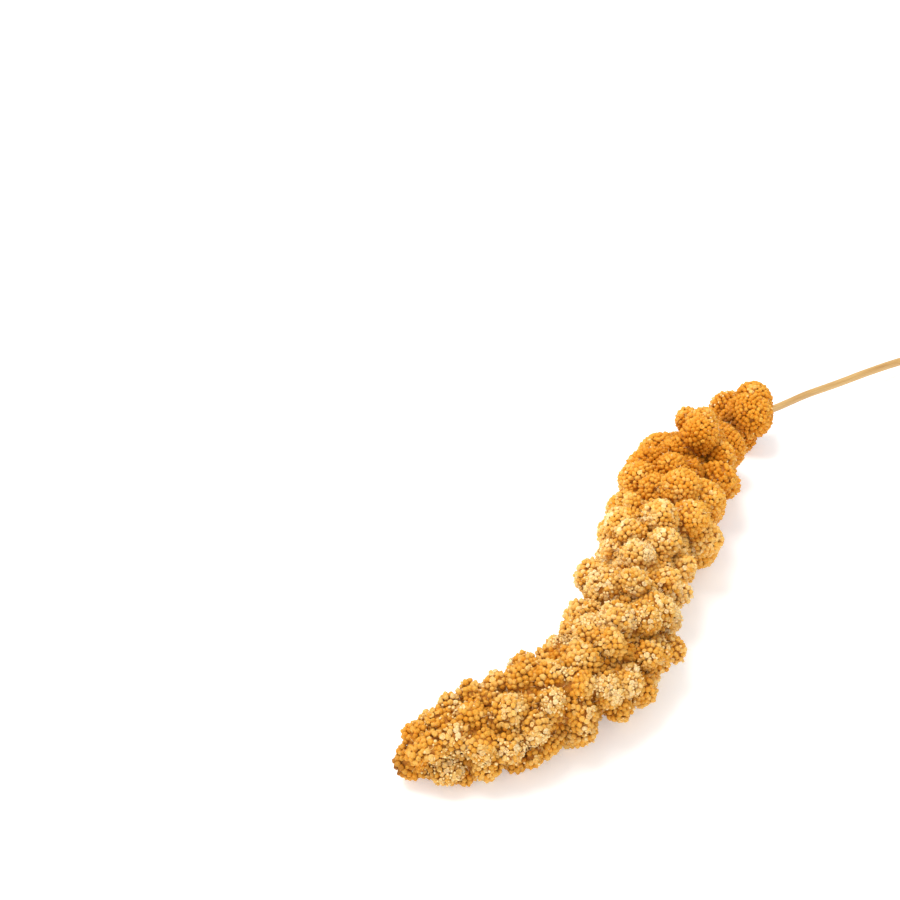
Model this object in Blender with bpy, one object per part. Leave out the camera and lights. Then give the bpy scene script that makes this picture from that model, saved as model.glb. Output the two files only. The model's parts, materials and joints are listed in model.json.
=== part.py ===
"""A dried millet seed head on its cut stem, laid on a flat surface.

The head is a dense spike: lobes, each a tight cluster of seeds, stand all round a thin axis and
lean towards the tip. The seeds are raised on the lobes by a formula, at about twice their size.
One more cluster grows round the stem a little below the head, and the stem ends in a plain cut.

Metres, +Z up. The origin is on the surface, at the flat spot under the middle of the head.
+X runs from the tip of the head to the cut end of the stem.
"""
import math
import random
from typing import NamedTuple

import bmesh
import bpy
import numpy as np
from mathutils import Vector

MM = 0.001
COLLECTION = "millet_seed_head"
SEED = 11
GOLDEN_ANGLE = math.pi * (3 - math.sqrt(5))

# The centreline, from the tip of the head to the cut end of the stem: x, y, z in millimetres.
ROUTE_MM = [
    (-126, 5, 7.5), (-115.4, -0.7, 10.6), (-102.5, -10.6, 13), (-86.6, -15.8, 15),
    (-65.7, -20.2, 16), (-45.6, -17.8, 17.6), (-26.8, -9.4, 18), (0, 0, 18.3), (39, 17, 19),
    (73, 30.5, 17.8), (94, 36.5, 15.6), (111, 38, 13.5), (125, 36, 12), (138, 32.5, 11),
    (159, 30, 9.5), (180, 26, 8), (200, 22, 7), (220, 17, 6), (250, 8, 4.2),
]
# Outer radius of the head at distances along the centreline, in millimetres.
ENVELOPE_MM = [
    (0, 3), (5, 7.3), (11, 10.6), (28, 13.6), (47, 15.2), (68, 16.4), (88, 18.2), (100, 19),
    (110, 18.2), (120, 17.4), (130, 17.8), (140, 20.4), (150, 21.6), (165, 21.8), (180, 21.2),
    (205, 19.5), (226, 16),
]
# Radius of the plain core that closes the bottoms of the gaps between the lobes.
CORE_MM = [(0, 2), (11, 7), (47, 10.5), (100, 12), (150, 12), (200, 9), (226, 6)]
# Width of a lobe: narrow at the tip, widest at the base.
LOBE_WIDTH_MM = [(0, 9), (40, 11), (75, 13), (110, 14.5), (160, 17), (226, 18.5)]
LOBE_LENGTH_RATIO = 1.2
LOBE_SPACING_RATIO = 0.9
LOBE_TRIES = 2400
LOBE_TURN_JITTER = 0.2
LOBE_WIDTH_JITTER = 0.12
LOBE_LEAN = math.radians(28)
TIP_LEAN = math.radians(80)
TIP_LEAN_LENGTH = 22 * MM

HEAD_LENGTH = 226 * MM
HEAD_START = 11 * MM
HEAD_END = HEAD_LENGTH - 10 * MM

# Lobes that shape the outline: distance along the head, angle round it, width, and how far it
# stands out of the outer radius, in millimetres and degrees. 0 degrees is the -Y side, 90 the
# top and 270 the underside.
MAIN_LOBES = [
    (4, 45, 9, 0), (6, 132, 10, -0.5), (8, 45, 10, 0), (11, -25, 9, 0), (14, 108, 8.5, 0),
    (17, 57, 10, 0), (18, 129, 7.5, 3), (25, -18, 10, 0), (27, 132, 7.5, 4), (31, 135, 9, 1),
    (34, 69, 11.5, 0), (37, -24, 6, 1), (39, 142, 9, 2), (42, -30, 10.5, 0), (44, 120, 11, 1),
    (47, 48, 10, 0), (49, 135, 10.5, 2.5), (55, -27, 10.5, 0.5), (59, 135, 12.5, 0),
    (64, 24, 11.5, 0), (66, 141, 7, 1.5), (68, -18, 9, 1), (75, 72, 10.5, 0), (77, -20, 10, 2),
    (80, 150, 10, 0.5), (83, 18, 9, 0), (88, 150, 12, 1), (90, 54, 11.5, 0), (94, -9, 8, 3.5),
    (103, 81, 11, 0), (104, 6, 9.5, 0), (108, 144, 12, 3), (117, 36, 9.5, 0), (120, 96, 12, 0),
    (124, -22, 12, -2), (125, -3, 7.5, -0.5), (129, 150, 7.5, 0), (131, 24, 8, 0),
    (132, 69, 11, 0), (134, 120, 10, 0), (137, -12, 13, -5), (137, 270, 16, 0),
    (142, 87, 13, 0), (148, -42, 14, -5), (149, 123, 6.5, 0), (150, 48, 13, 0),
    (152, 9, 13.5, 0), (163, 72, 15, 0), (166, 33, 17, 0), (167, 118, 12, -5),
    (176, -2, 14, -3), (180, 98, 12, -4), (185, 66, 10, -7), (191, 18, 12, 0),
    (198, -6, 10.5, 1), (200, 119, 13, -6), (203, 77, 14.5, 1.5), (205, 30, 11, -1),
    (216, 85, 12.5, 1), (218, 48, 9, -4), (224, 122, 10, 0),
]
# The cluster round the stem below the head, listed the same way.
BASAL_LOBES = [(257, 35, 19, 0), (264, 85, 15, 0), (260, 175, 15, 0), (258, 280, 14, 0)]
BASAL_CENTRE = 260 * MM
BASAL_RADIUS = 14.5 * MM
BASAL_CORE_RADIUS = 6 * MM

# Seeds, raised on the lobes: spacing, height of a seed's top and depth of the dip beside it.
SEED_SPACING = 4 * MM
SEED_RISE = 0.45 * MM
SEED_DIP = 0.7 * MM
SEED_JITTER = 0.16
END_FLATNESS = 0.8
FEWEST_IN_RING = 5

STEM_START = 196 * MM
STEM_SPACING = 4.5 * MM
STEM_RADIUS_AT_HEAD = 1.3 * MM
STEM_RADIUS_AT_CUT = 1.8 * MM
STEM_ROUNDNESS = 2
CLEARANCE = 0.3 * MM
WELD_DISTANCE = 0.01 * MM

# What lies below the surface is pressed flat, and round the origin a little more than that.
REST_SPOT_RADIUS = 5 * MM
REST_SPOT_HEIGHT = 2 * MM

# Colours as linear red, green and blue.
SEED_COLOUR = (0.62, 0.30, 0.07)
SEED_ROUGHNESS = 0.6
STRAW_COLOUR = (0.55, 0.33, 0.12)
STRAW_ROUGHNESS = 0.55


class Lobe(NamedTuple):
    """A cluster of seeds: where it stands along and round the head, and how wide it is.

    out is how far it stands out of the envelope.
    """

    arc: float
    angle: float
    width: float
    out: float = 0.0


class Body(NamedTuple):
    """A body of lobes: its extent along the spine, and its widths there.

    start and end are the middles of its two rounded ends. envelope and core are tables of
    (distance, radius): where the lobes' outer ends lie, and how deep the gaps between them go.
    """

    start: float
    end: float
    envelope: list
    core: list
    lobes: list


def scaled(table):
    """A table of millimetres as metres."""
    return [tuple(value * MM for value in row) for row in table]


def read(table, arc):
    """The value that a table of (distance, value) rows gives at a distance."""
    return float(np.interp(arc, [row[0] for row in table], [row[1] for row in table]))


class Spine:
    """The smooth centreline, read by the distance from the tip of the head."""

    STEPS = 24

    def __init__(self, points):
        ends = [2 * points[0] - points[1], *points, 2 * points[-1] - points[-2]]
        line = []
        for a, b, c, d in zip(ends, ends[1:], ends[2:], ends[3:]):
            for step in range(self.STEPS):
                t = step / self.STEPS
                line.append(0.5 * (2 * b + (c - a) * t + (2 * a - 5 * b + 4 * c - d) * t ** 2
                                   + (3 * b - a - 3 * c + d) * t ** 3))
        line.append(points[-1])
        self.line = np.array(line)
        lengths = np.linalg.norm(np.diff(self.line, axis=0), axis=1)
        self.arcs = np.concatenate([[0.0], np.cumsum(lengths)])
        self.length = float(self.arcs[-1])

    def point(self, arc):
        """The point at a distance from the tip."""
        return np.array([np.interp(arc, self.arcs, self.line[:, axis]) for axis in range(3)])

    def frame(self, arc):
        """The point, the direction towards the cut end, the -Y side and the upward side."""
        reach = 3 * MM
        along = self.point(arc + reach) - self.point(arc - reach)
        along /= np.linalg.norm(along)
        side = np.cross(along, (0, 0, 1))
        side /= np.linalg.norm(side)
        return self.point(arc), along, side, np.cross(side, along)

    def outward(self, arc, angle):
        """The direction square to the spine at an angle round it."""
        _, _, side, up = self.frame(arc)
        return side * math.cos(angle) + up * math.sin(angle)


def lobe_tip(spine, envelope, lobe):
    """The point that a lobe's outer end touches."""
    distance = read(envelope, lobe.arc) + lobe.out
    return spine.point(lobe.arc) + spine.outward(lobe.arc, lobe.angle) * distance


def lobes_of(rows):
    """The lobes of a list in millimetres and degrees."""
    return [Lobe(arc * MM, math.radians(angle), width * MM, out * MM)
            for arc, angle, width, out in rows]


def head_lobes(spine, rng):
    """The main lobes, and others that follow a golden-angle spiral wherever there is room."""
    envelope = scaled(ENVELOPE_MM)
    widths = scaled(LOBE_WIDTH_MM)
    lobes = lobes_of(MAIN_LOBES)
    tips = [lobe_tip(spine, envelope, lobe) for lobe in lobes]
    for index in range(LOBE_TRIES):
        arc = (index + 0.5) / LOBE_TRIES * HEAD_LENGTH
        angle = index * GOLDEN_ANGLE + rng.uniform(-LOBE_TURN_JITTER, LOBE_TURN_JITTER)
        swelling = rng.uniform(1 - LOBE_WIDTH_JITTER, 1 + LOBE_WIDTH_JITTER)
        lobe = Lobe(arc, angle, read(widths, arc) * swelling)
        tip = lobe_tip(spine, envelope, lobe)
        room = [np.linalg.norm(tip - other) / (lobe.width + known.width) * 2
                for other, known in zip(tips, lobes)]
        if min(room) > LOBE_SPACING_RATIO:
            lobes.append(lobe)
            tips.append(tip)
    return lobes


def ellipsoid(spine, envelope, lobe):
    """A lobe as an ellipsoid: its centre, its axes, the long one outwards, and its half sizes."""
    outward = spine.outward(lobe.arc, lobe.angle)
    _, along, _, _ = spine.frame(lobe.arc)
    near_tip = max(0.0, 1 - lobe.arc / TIP_LEAN_LENGTH)
    lean = LOBE_LEAN + (TIP_LEAN - LOBE_LEAN) * near_tip
    axis = outward * math.cos(lean) - along * math.sin(lean)
    across = np.cross(axis, along)
    across /= np.linalg.norm(across)
    half_width = lobe.width / 2
    half_length = half_width * LOBE_LENGTH_RATIO
    centre = lobe_tip(spine, envelope, lobe) - axis * half_length
    sizes = np.array([half_width, half_width, half_length])
    return centre, np.array([across, np.cross(axis, across), axis]), sizes


def reach(origins, directions, floors, ellipsoids, swell):
    """How far each ray from the spine runs before it has left every lobe.

    swell thickens the lobes, and floors holds the least reach of each ray, at the core.
    """
    best = np.array(floors) + swell
    for centre, axes, sizes in ellipsoids:
        start = (origins - centre) @ axes.T / (sizes + swell)
        step = directions @ axes.T / (sizes + swell)
        a = (step * step).sum(axis=1)
        b = (start * step).sum(axis=1)
        c = (start * start).sum(axis=1) - 1
        under_root = b * b - a * c
        hit = under_root > 0
        far = np.zeros(len(best))
        far[hit] = (-b[hit] + np.sqrt(under_root[hit])) / a[hit]
        best = np.maximum(best, far)
    return best


def end_tilts(body, arc, row_spacing):
    """How far each ring of a rounded end leans away from square to the spine, outermost first."""
    quarter_turn = math.pi / 2 * read(body.envelope, arc)
    count = round(quarter_turn * END_FLATNESS / row_spacing)
    return [math.pi / 2 * (1 - ring / (count + 0.5)) for ring in range(1, count + 1)]


def ring_rays(spine, body, rng):
    """Rings of rays (origin, direction, distance along the spine), from one end to the other.

    The rings between the ends are square to the spine. At each end they open out from its
    last point like the ribs of an umbrella, so that they close over a rounded end.
    """
    row_spacing = SEED_SPACING * math.sqrt(3) / 2
    gaps = max(1, round((body.end - body.start) / row_spacing))
    arcs = sorted({body.start + (body.end - body.start) * gap / gaps for gap in range(gaps + 1)})
    rings = [(body.start, tilt) for tilt in end_tilts(body, body.start, row_spacing)]
    rings += [(arc, 0.0) for arc in arcs]
    rings += [(body.end, -tilt) for tilt in reversed(end_tilts(body, body.end, row_spacing))]
    rows = []
    for number, (arc, tilt) in enumerate(rings):
        girth = math.tau * read(body.envelope, arc) * math.cos(tilt)
        count = max(FEWEST_IN_RING, round(girth / SEED_SPACING))
        row = []
        for index in range(count):
            angle = (index + number % 2 / 2 + rng.uniform(-SEED_JITTER, SEED_JITTER)) / count
            shift = rng.uniform(-SEED_JITTER, SEED_JITTER) * SEED_SPACING
            here = arc + shift * math.cos(tilt)
            origin, along, _, _ = spine.frame(here)
            outward = spine.outward(here, angle * math.tau)
            direction = outward * math.cos(tilt) - along * math.sin(tilt)
            row.append((origin, direction, here))
        rows.append((row, number % 2 / 2))
    ends = []
    for arc, sign in ((body.start, -1), (body.end, 1)):
        origin, along, _, _ = spine.frame(arc)
        ends.append((origin, along * sign, arc))
    return rows, ends


def lace(mesh, lower, upper):
    """Band of triangles between two rings, each a list of vertices and its first fraction."""
    (low, low_shift), (high, high_shift) = lower, upper
    i = j = 0
    while i < len(low) or j < len(high):
        next_low = (i + 1 + low_shift) / len(low)
        next_high = (j + 1 + high_shift) / len(high)
        a, b = low[i % len(low)], high[j % len(high)]
        if j == len(high) or (i < len(low) and next_low <= next_high):
            mesh.faces.new((a, b, low[(i + 1) % len(low)]))
            i += 1
        else:
            mesh.faces.new((a, b, high[(j + 1) % len(high)]))
            j += 1


def beaded_mesh(name, spine, body, rng):
    """A closed mesh over a body's lobes, with a seed at each point of a staggered lattice.

    Every triangle of the lattice gets a dip in its middle, and its edges are then turned to
    run from dip to dip, so that each seed ends up as a small six-sided bump.
    """
    rows, ends = ring_rays(spine, body, rng)
    mesh = bmesh.new()
    rays = {}

    def add(ray):
        vertex = mesh.verts.new(ray[0] + ray[1] * read(body.envelope, ray[2]))
        rays[vertex] = ray
        return vertex

    rings = [([add(ray) for ray in row], shift) for row, shift in rows]
    first, last = (add(ray) for ray in ends)
    for lower, upper in zip(rings, rings[1:]):
        lace(mesh, lower, upper)
    for pole, ring, backwards in ((first, rings[0][0], False), (last, rings[-1][0], True)):
        for a, b in zip(ring, ring[1:] + ring[:1]):
            mesh.faces.new((pole, b, a) if backwards else (pole, a, b))
    bmesh.ops.recalc_face_normals(mesh, faces=mesh.faces)

    lattice_edges = list(mesh.edges)
    corners = {face: [rays[vertex] for vertex in face.verts] for face in mesh.faces}
    dips = []
    for face, around in corners.items():
        middle = [sum(ray[part] for ray in around) / len(around) for part in range(3)]
        middle[1] = middle[1] / np.linalg.norm(middle[1])
        result = bmesh.ops.poke(mesh, faces=[face])
        dips.append(result["verts"][0])
        rays[dips[-1]] = tuple(middle)
    bmesh.ops.rotate_edges(mesh, edges=lattice_edges)

    in_dips = set(dips)
    seeds = [vertex for vertex in mesh.verts if vertex not in in_dips]
    ellipsoids = [ellipsoid(spine, body.envelope, lobe) for lobe in body.lobes]
    for vertices, swell in ((seeds, SEED_RISE), (dips, -SEED_DIP)):
        origins = np.array([rays[vertex][0] for vertex in vertices])
        directions = np.array([rays[vertex][1] for vertex in vertices])
        floors = [read(body.core, rays[vertex][2]) for vertex in vertices]
        distances = reach(origins, directions, floors, ellipsoids, swell)
        for vertex, origin, direction, distance in zip(vertices, origins, directions, distances):
            vertex.co = Vector(origin + direction * distance)
    for vertex in mesh.verts:
        near_origin = vertex.co.xy.length < REST_SPOT_RADIUS and vertex.co.z < REST_SPOT_HEIGHT
        vertex.co.z = 0.0 if near_origin else max(vertex.co.z, 0.0)
    bmesh.ops.triangulate(mesh, faces=mesh.faces)
    data = bpy.data.meshes.new(name)
    mesh.to_mesh(data)
    mesh.free()
    return data


def material(name, colour, roughness):
    """A Principled material."""
    result = bpy.data.materials.new(name)
    result.use_nodes = True
    shader = result.node_tree.nodes["Principled BSDF"]
    shader.inputs["Base Color"].default_value = (*colour, 1)
    shader.inputs["Roughness"].default_value = roughness
    result.diffuse_color = (*colour, 1)
    return result


def stem_tube(name, spine, start, end, extra, collection):
    """A tapered tube along the spine, extra thicker than the stem, as a welded mesh."""
    count = round((end - start) / STEM_SPACING) + 1
    curve = bpy.data.curves.new(name, "CURVE")
    curve.dimensions = "3D"
    curve.bevel_depth = STEM_RADIUS_AT_CUT
    curve.bevel_resolution = STEM_ROUNDNESS
    curve.use_fill_caps = True
    spline = curve.splines.new("POLY")
    spline.points.add(count - 1)
    for index, point in enumerate(spline.points):
        arc = start + (end - start) * index / (count - 1)
        part = (arc - STEM_START) / (spine.length - STEM_START)
        radius = STEM_RADIUS_AT_HEAD + (STEM_RADIUS_AT_CUT - STEM_RADIUS_AT_HEAD) * part
        point.co = (*spine.point(arc), 1)
        point.radius = (radius + extra) / STEM_RADIUS_AT_CUT
    tube = bpy.data.objects.new(name + "_curve", curve)
    collection.objects.link(tube)
    bpy.context.view_layer.update()
    data = bpy.data.meshes.new_from_object(
        tube.evaluated_get(bpy.context.evaluated_depsgraph_get()))
    data.shade_smooth()
    mesh = bmesh.new()
    mesh.from_mesh(data)
    bmesh.ops.remove_doubles(mesh, verts=mesh.verts, dist=WELD_DISTANCE)
    mesh.to_mesh(data)
    mesh.free()
    result = bpy.data.objects.new(name, data)
    result.matrix_world = tube.matrix_world
    collection.objects.link(result)
    bpy.data.objects.remove(tube)
    return result


def bore(target, cutter):
    """Cut the stem's hole out of a body, and drop what scraps the cut leaves."""
    cut = target.modifiers.new("stem_hole", "BOOLEAN")
    cut.operation = "DIFFERENCE"
    cut.solver = "EXACT"
    cut.object = cutter
    bpy.context.view_layer.update()
    bored = bpy.data.meshes.new_from_object(
        target.evaluated_get(bpy.context.evaluated_depsgraph_get()))
    target.modifiers.clear()
    target.data = bored
    mesh = bmesh.new()
    mesh.from_mesh(bored)
    shells = connected_shells(mesh)
    shells.sort(key=len)
    for scrap in shells[:-1]:
        bmesh.ops.delete(mesh, geom=list(scrap), context="VERTS")
    mesh.to_mesh(bored)
    mesh.free()


def connected_shells(mesh):
    """The sets of vertices that edges join."""
    waiting = set(mesh.verts)
    shells = []
    while waiting:
        front = [waiting.pop()]
        shell = set(front)
        while front:
            for edge in front.pop().link_edges:
                for vertex in edge.verts:
                    if vertex in waiting:
                        waiting.discard(vertex)
                        shell.add(vertex)
                        front.append(vertex)
        shells.append(shell)
    return shells


def collection_named(name):
    """A new collection in the scene."""
    result = bpy.data.collections.new(name)
    bpy.context.scene.collection.children.link(result)
    return result


def main():
    """Build the stem, the head and the cluster, and bore the stem's hole through them."""
    for old in list(bpy.data.objects):
        bpy.data.objects.remove(old)
    parts = collection_named(COLLECTION)
    cutters = collection_named("cutters")
    rng = random.Random(SEED)
    spine = Spine([np.array(point) * MM for point in ROUTE_MM])

    seeds = material("millet_seeds", SEED_COLOUR, SEED_ROUGHNESS)
    straw = material("dry_straw", STRAW_COLOUR, STRAW_ROUGHNESS)

    head = Body(HEAD_START, HEAD_END, scaled(ENVELOPE_MM), scaled(CORE_MM),
                head_lobes(spine, rng))
    basal = Body(BASAL_CENTRE, BASAL_CENTRE, [(BASAL_CENTRE, BASAL_RADIUS)],
                 [(BASAL_CENTRE, BASAL_CORE_RADIUS)], lobes_of(BASAL_LOBES))
    stem = stem_tube("stem", spine, STEM_START, spine.length, 0, parts)
    stem.data.materials.append(straw)
    socket = stem_tube("stem_socket", spine, STEM_START - CLEARANCE,
                       BASAL_CENTRE + BASAL_RADIUS * 2, CLEARANCE, cutters)
    socket.hide_render = True
    socket.display_type = "WIRE"
    for name, body in (("seed_head", head), ("basal_cluster", basal)):
        data = beaded_mesh(name, spine, body, rng)
        data.materials.append(seeds)
        result = bpy.data.objects.new(name, data)
        parts.objects.link(result)
        bore(result, socket)


main()
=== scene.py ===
"""The looks of a dried millet seed head, lying on a plain white surface.

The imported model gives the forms: lobes of seeds on a bent spike, one more cluster on the stem,
and the cut stem. Here each lobe gets its real grains, one by one, on a bed of brown husks, with
pale papery chaff and fine bristles between them. The stem gets its ridges, fibres and pith.

Metres, +Z up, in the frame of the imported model. The lists of lobes and patches, and the tables
whose names end in MM, are in millimetres and degrees. A table by arc is in metres.
"""
import json
import logging
import math
import random
from dataclasses import dataclass, field
from enum import Enum
from typing import Any, Iterable, Optional

import bmesh
import bpy
import numpy as np
from mathutils import Matrix, Vector, noise
from mathutils.kdtree import KDTree

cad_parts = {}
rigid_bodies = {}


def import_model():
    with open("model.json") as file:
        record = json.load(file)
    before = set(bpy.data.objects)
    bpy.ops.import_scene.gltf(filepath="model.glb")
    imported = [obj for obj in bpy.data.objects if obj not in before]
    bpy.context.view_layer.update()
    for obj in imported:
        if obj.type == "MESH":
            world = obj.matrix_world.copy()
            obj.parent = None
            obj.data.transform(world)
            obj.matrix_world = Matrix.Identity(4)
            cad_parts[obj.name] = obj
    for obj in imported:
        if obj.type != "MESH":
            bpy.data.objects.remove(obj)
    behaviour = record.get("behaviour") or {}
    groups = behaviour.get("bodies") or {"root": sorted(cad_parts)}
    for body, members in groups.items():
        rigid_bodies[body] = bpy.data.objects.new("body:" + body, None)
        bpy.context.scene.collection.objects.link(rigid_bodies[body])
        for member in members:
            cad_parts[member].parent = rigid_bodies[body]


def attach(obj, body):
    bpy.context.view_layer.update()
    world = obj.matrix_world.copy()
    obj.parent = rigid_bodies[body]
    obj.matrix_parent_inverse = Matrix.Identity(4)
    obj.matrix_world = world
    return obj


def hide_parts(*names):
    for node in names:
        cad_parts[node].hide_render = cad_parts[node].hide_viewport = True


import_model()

LOG = logging.getLogger("millet")

MM = 0.001
GOLDEN_ANGLE = math.pi * (3 - math.sqrt(5))
BODY = "root"

# The noise seldom goes past 0.7 either way, and this takes it to about 1.
NOISE_GAIN = 1.4
# More than any distance in metres, so that what it is added to comes last.
LATER = 10.0

Table = list[tuple[float, float]]
Found = dict[str, np.ndarray]

# The centreline, from the tip of the head to the cut end of the stem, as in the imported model.
ROUTE_MM = [
    (-126, 5, 7.5), (-115.4, -0.7, 10.6), (-102.5, -10.6, 13), (-86.6, -15.8, 15),
    (-65.7, -20.2, 16), (-45.6, -17.8, 17.6), (-26.8, -9.4, 18), (0, 0, 18.3), (39, 17, 19),
    (73, 30.5, 17.8), (94, 36.5, 15.6), (111, 38, 13.5), (125, 36, 12), (138, 32.5, 11),
    (159, 30, 9.5), (180, 26, 8), (200, 22, 7), (220, 17, 6), (250, 8, 4.2),
]
# By distance from the tip: how far the lobes reach from the centreline, the radius of the core
# between them, and the width of a lobe.
ENVELOPE_MM = [
    (0, 3), (5, 7.3), (11, 10.6), (28, 13.6), (47, 15.2), (68, 16.4), (88, 18.2), (100, 19),
    (110, 18.2), (120, 17.4), (130, 17.8), (140, 20.4), (150, 21.6), (165, 21.8), (180, 21.2),
    (205, 19.5), (226, 16),
]
CORE_MM = [(0, 2), (11, 7), (47, 10.5), (100, 12), (150, 12), (200, 9), (226, 6)]
LOBE_WIDTH_MM = [(0, 9), (40, 11), (75, 13), (110, 14.5), (160, 17), (226, 18.5)]
# Distance from the tip, angle round the head, width, and how far the lobe stands out of the
# envelope.
MAIN_LOBES = [
    (4, 45, 9, 0), (6, 132, 10, -0.5), (8, 45, 10, 0), (11, -25, 9, 0), (14, 108, 8.5, 0),
    (17, 57, 10, 0), (18, 129, 7.5, 3), (25, -18, 10, 0), (27, 132, 7.5, 4), (31, 135, 9, 1),
    (34, 69, 11.5, 0), (37, -24, 6, 1), (39, 142, 9, 2), (42, -30, 10.5, 0), (44, 120, 11, 1),
    (47, 48, 10, 0), (49, 135, 10.5, 2.5), (55, -27, 10.5, 0.5), (59, 135, 12.5, 0),
    (64, 24, 11.5, 0), (66, 141, 7, 1.5), (68, -18, 9, 1), (75, 72, 10.5, 0), (77, -20, 10, 2),
    (80, 150, 10, 0.5), (83, 18, 9, 0), (88, 150, 12, 1), (90, 54, 11.5, 0), (94, -9, 8, 3.5),
    (103, 81, 11, 0), (104, 6, 9.5, 0), (108, 144, 12, 3), (117, 36, 9.5, 0), (120, 96, 12, 0),
    (124, -22, 12, -2), (125, -3, 7.5, -0.5), (129, 150, 7.5, 0), (131, 24, 8, 0),
    (132, 69, 11, 0), (134, 120, 10, 0), (137, -12, 13, -5), (137, 270, 16, 0),
    (142, 87, 13, 0), (148, -42, 14, -5), (149, 123, 6.5, 0), (150, 48, 13, 0),
    (152, 9, 13.5, 0), (163, 72, 15, 0), (166, 33, 17, 0), (167, 118, 12, -5),
    (176, -2, 14, -3), (180, 98, 12, -4), (185, 66, 10, -7), (191, 18, 12, 0),
    (198, -6, 10.5, 1), (200, 119, 13, -6), (203, 77, 14.5, 1.5), (205, 30, 11, -1),
    (216, 85, 12.5, 1), (218, 48, 9, -4), (224, 122, 10, 0),
]
BASAL_LOBES = [(257, 35, 19, 0), (264, 85, 15, 0), (260, 175, 15, 0), (258, 280, 14, 0)]
# The lobes that fill the room between the listed ones: how many places are tried, how far a
# turn may stray, the widths over those of the table, and how near two lobes may stand over the
# mean of their widths.
LOBE_SEED = 11
LOBE_TRIES = 2400
LOBE_STRAY = 0.2
LOBE_WIDTHS = (0.88, 1.12)
LOBE_ROOM = 0.9
HEAD_LENGTH = 226 * MM
BASAL_CENTRE = 260 * MM
BASAL_RADIUS = 14.5 * MM
BASAL_CORE_RADIUS = 6 * MM

# Where bleached husks and chaff lie thick: distance along the head, angle round it, radius in
# millimetres and degrees, and how thick, from 0 to 1.
CREAM_PATCHES = [
    (12, 38, 3, 0.5), (17, 3, 6, 0.8), (21, 58, 3, 0.6), (22, 105, 4, 0.6), (26, 8, 3, 0.6),
    (30, 12, 3, 0.6), (36, 60, 4, 0.5), (39, 8, 5, 0.8), (47, 48, 5, 1), (56, 78, 4, 0.9),
    (57, -5, 3, 0.5), (65, 38, 5, 1), (70, 15, 4, 0.6), (72, 125, 5, 0.8), (79, 30, 5, 0.8),
    (80, 110, 6, 0.6), (88, 62, 5, 0.6), (93, 42, 3, 0.6), (102, 128, 6, 0.5),
    (108, 22, 5, 1), (108, 42, 4, 0.5), (122, 72, 4, 0.5), (127, 85, 4, 0.7),
    (131, 45, 3, 0.7), (139, 68, 3, 0.8), (143, 42, 4, 0.8), (60, 230, 6, 0.6),
    (100, 250, 6, 0.6), (130, 200, 6, 0.6), (40, 180, 5, 0.6), (90, 200, 6, 0.6),
]
BASAL_PATCHES = [(258, 175, 12, 0.3)]

# Grain spacing along the head and on to the cluster. It is nearly even, and the grains of the
# tip look larger because they are nearest to the camera.
GRAIN_PITCH_MM = [(0, 1.95), (50, 1.9), (110, 1.85), (160, 1.95), (200, 2.05), (270, 2.1)]

# By distance along the head: the grains' tone from deep orange at 0 to cream at 1, the share of
# bleached husks, how crumbly the surface is, how close the lobes stand and so how much painted
# shade lies between them, how much browner all grains are, and how thick the bristles stand.
# The tone's dip round 0.195 m is painted shade on the lobes near the base.
TONE_BY_ARC = [(0.0, 0.44), (0.06, 0.46), (0.1, 0.58), (0.12, 0.65), (0.14, 0.61),
               (0.168, 0.43), (0.185, 0.32), (0.195, 0.22), (0.208, 0.35), (0.226, 0.34)]
BLEACH_BY_ARC = [(0.0, 0.5), (0.07, 0.6), (0.11, 0.8), (0.14, 0.75), (0.165, 0.25),
                 (0.226, 0.12)]
CRUMBLY_BY_ARC = [(0.0, 1.4), (0.06, 1.3), (0.13, 1.1), (0.155, 0.5), (0.3, 0.35)]
SHUT_BY_ARC = [(0.0, 0.9), (0.08, 0.7), (0.12, 0.35), (0.17, 0.35), (0.185, 1.0)]
DIM_BY_ARC = [(0.0, 0.17), (0.1, 0.1), (0.15, -0.03)]
BRISTLY_BY_ARC = [(0.0, 1.6), (0.08, 1.1), (0.3, 0.8)]

# Where the head is cut into pieces, so that each stays light: distances along it.
HEAD_SECTIONS = {"tip": (0.0, 0.070), "lower": (0.070, 0.120), "middle": (0.120, 0.165),
                 "base": (0.165, 1.0)}
BASAL_SECTIONS = {"round": (0.0, 1.0)}

# How many uneven copies of each form of grain there are, and how far a point of a copy moves
# over the grain's radius.
GRAIN_VARIANTS = 4
DENT_DEPTH = 0.07
DENT_SEED = 3


class GrainForm(Enum):
    """The forms of grain, in the order in which their shapes are named."""

    PLUMP = 0
    POINTED = 1
    LIPPED = 2
    EMPTY = 3
    SPLIT = 4


# Below what draw a grain has each form, the first that fits: a fixed part, and a part that is
# multiplied by how bleached the husks are. What is left over is plump.
FORM_SHARES = [(GrainForm.EMPTY, 0.0, 0.08), (GrainForm.SPLIT, 0.0, 0.4),
               (GrainForm.LIPPED, 0.2, 0.7), (GrainForm.POINTED, 0.45, 0.4)]


class ChaffForm(Enum):
    """The forms of chaff, in the order in which their shapes are named."""

    CRUMB = 0
    SHORT = 1
    LONG = 2


def linear(hex_colour: str, alpha: float = 1.0) -> tuple[float, float, float, float]:
    """An sRGB hex colour as linear red, green, blue and alpha.

    Args:
        hex_colour: six hex digits after a hash sign.
        alpha: the fourth value.

    Returns:
        The four linear values.
    """
    values = [int(hex_colour[start:start + 2], 16) / 255 for start in (1, 3, 5)]
    curve = [v / 12.92 if v <= 0.04045 else ((v + 0.055) / 1.055) ** 2.4 for v in values]
    return (*curve, alpha)


def metres(table: Iterable[tuple[float, ...]]) -> list[tuple[float, ...]]:
    """A table of millimetres in metres."""
    return [tuple(value * MM for value in row) for row in table]


def read(table: Table, where: Any) -> Any:
    """The values that a table of (distance, value) rows gives at one distance or an array."""
    return np.interp(where, [row[0] for row in table], [row[1] for row in table])


def unit(vectors: np.ndarray) -> np.ndarray:
    """Vectors scaled to length one, along the last axis."""
    return vectors / np.maximum(np.linalg.norm(vectors, axis=-1, keepdims=True), 1e-12)


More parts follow.
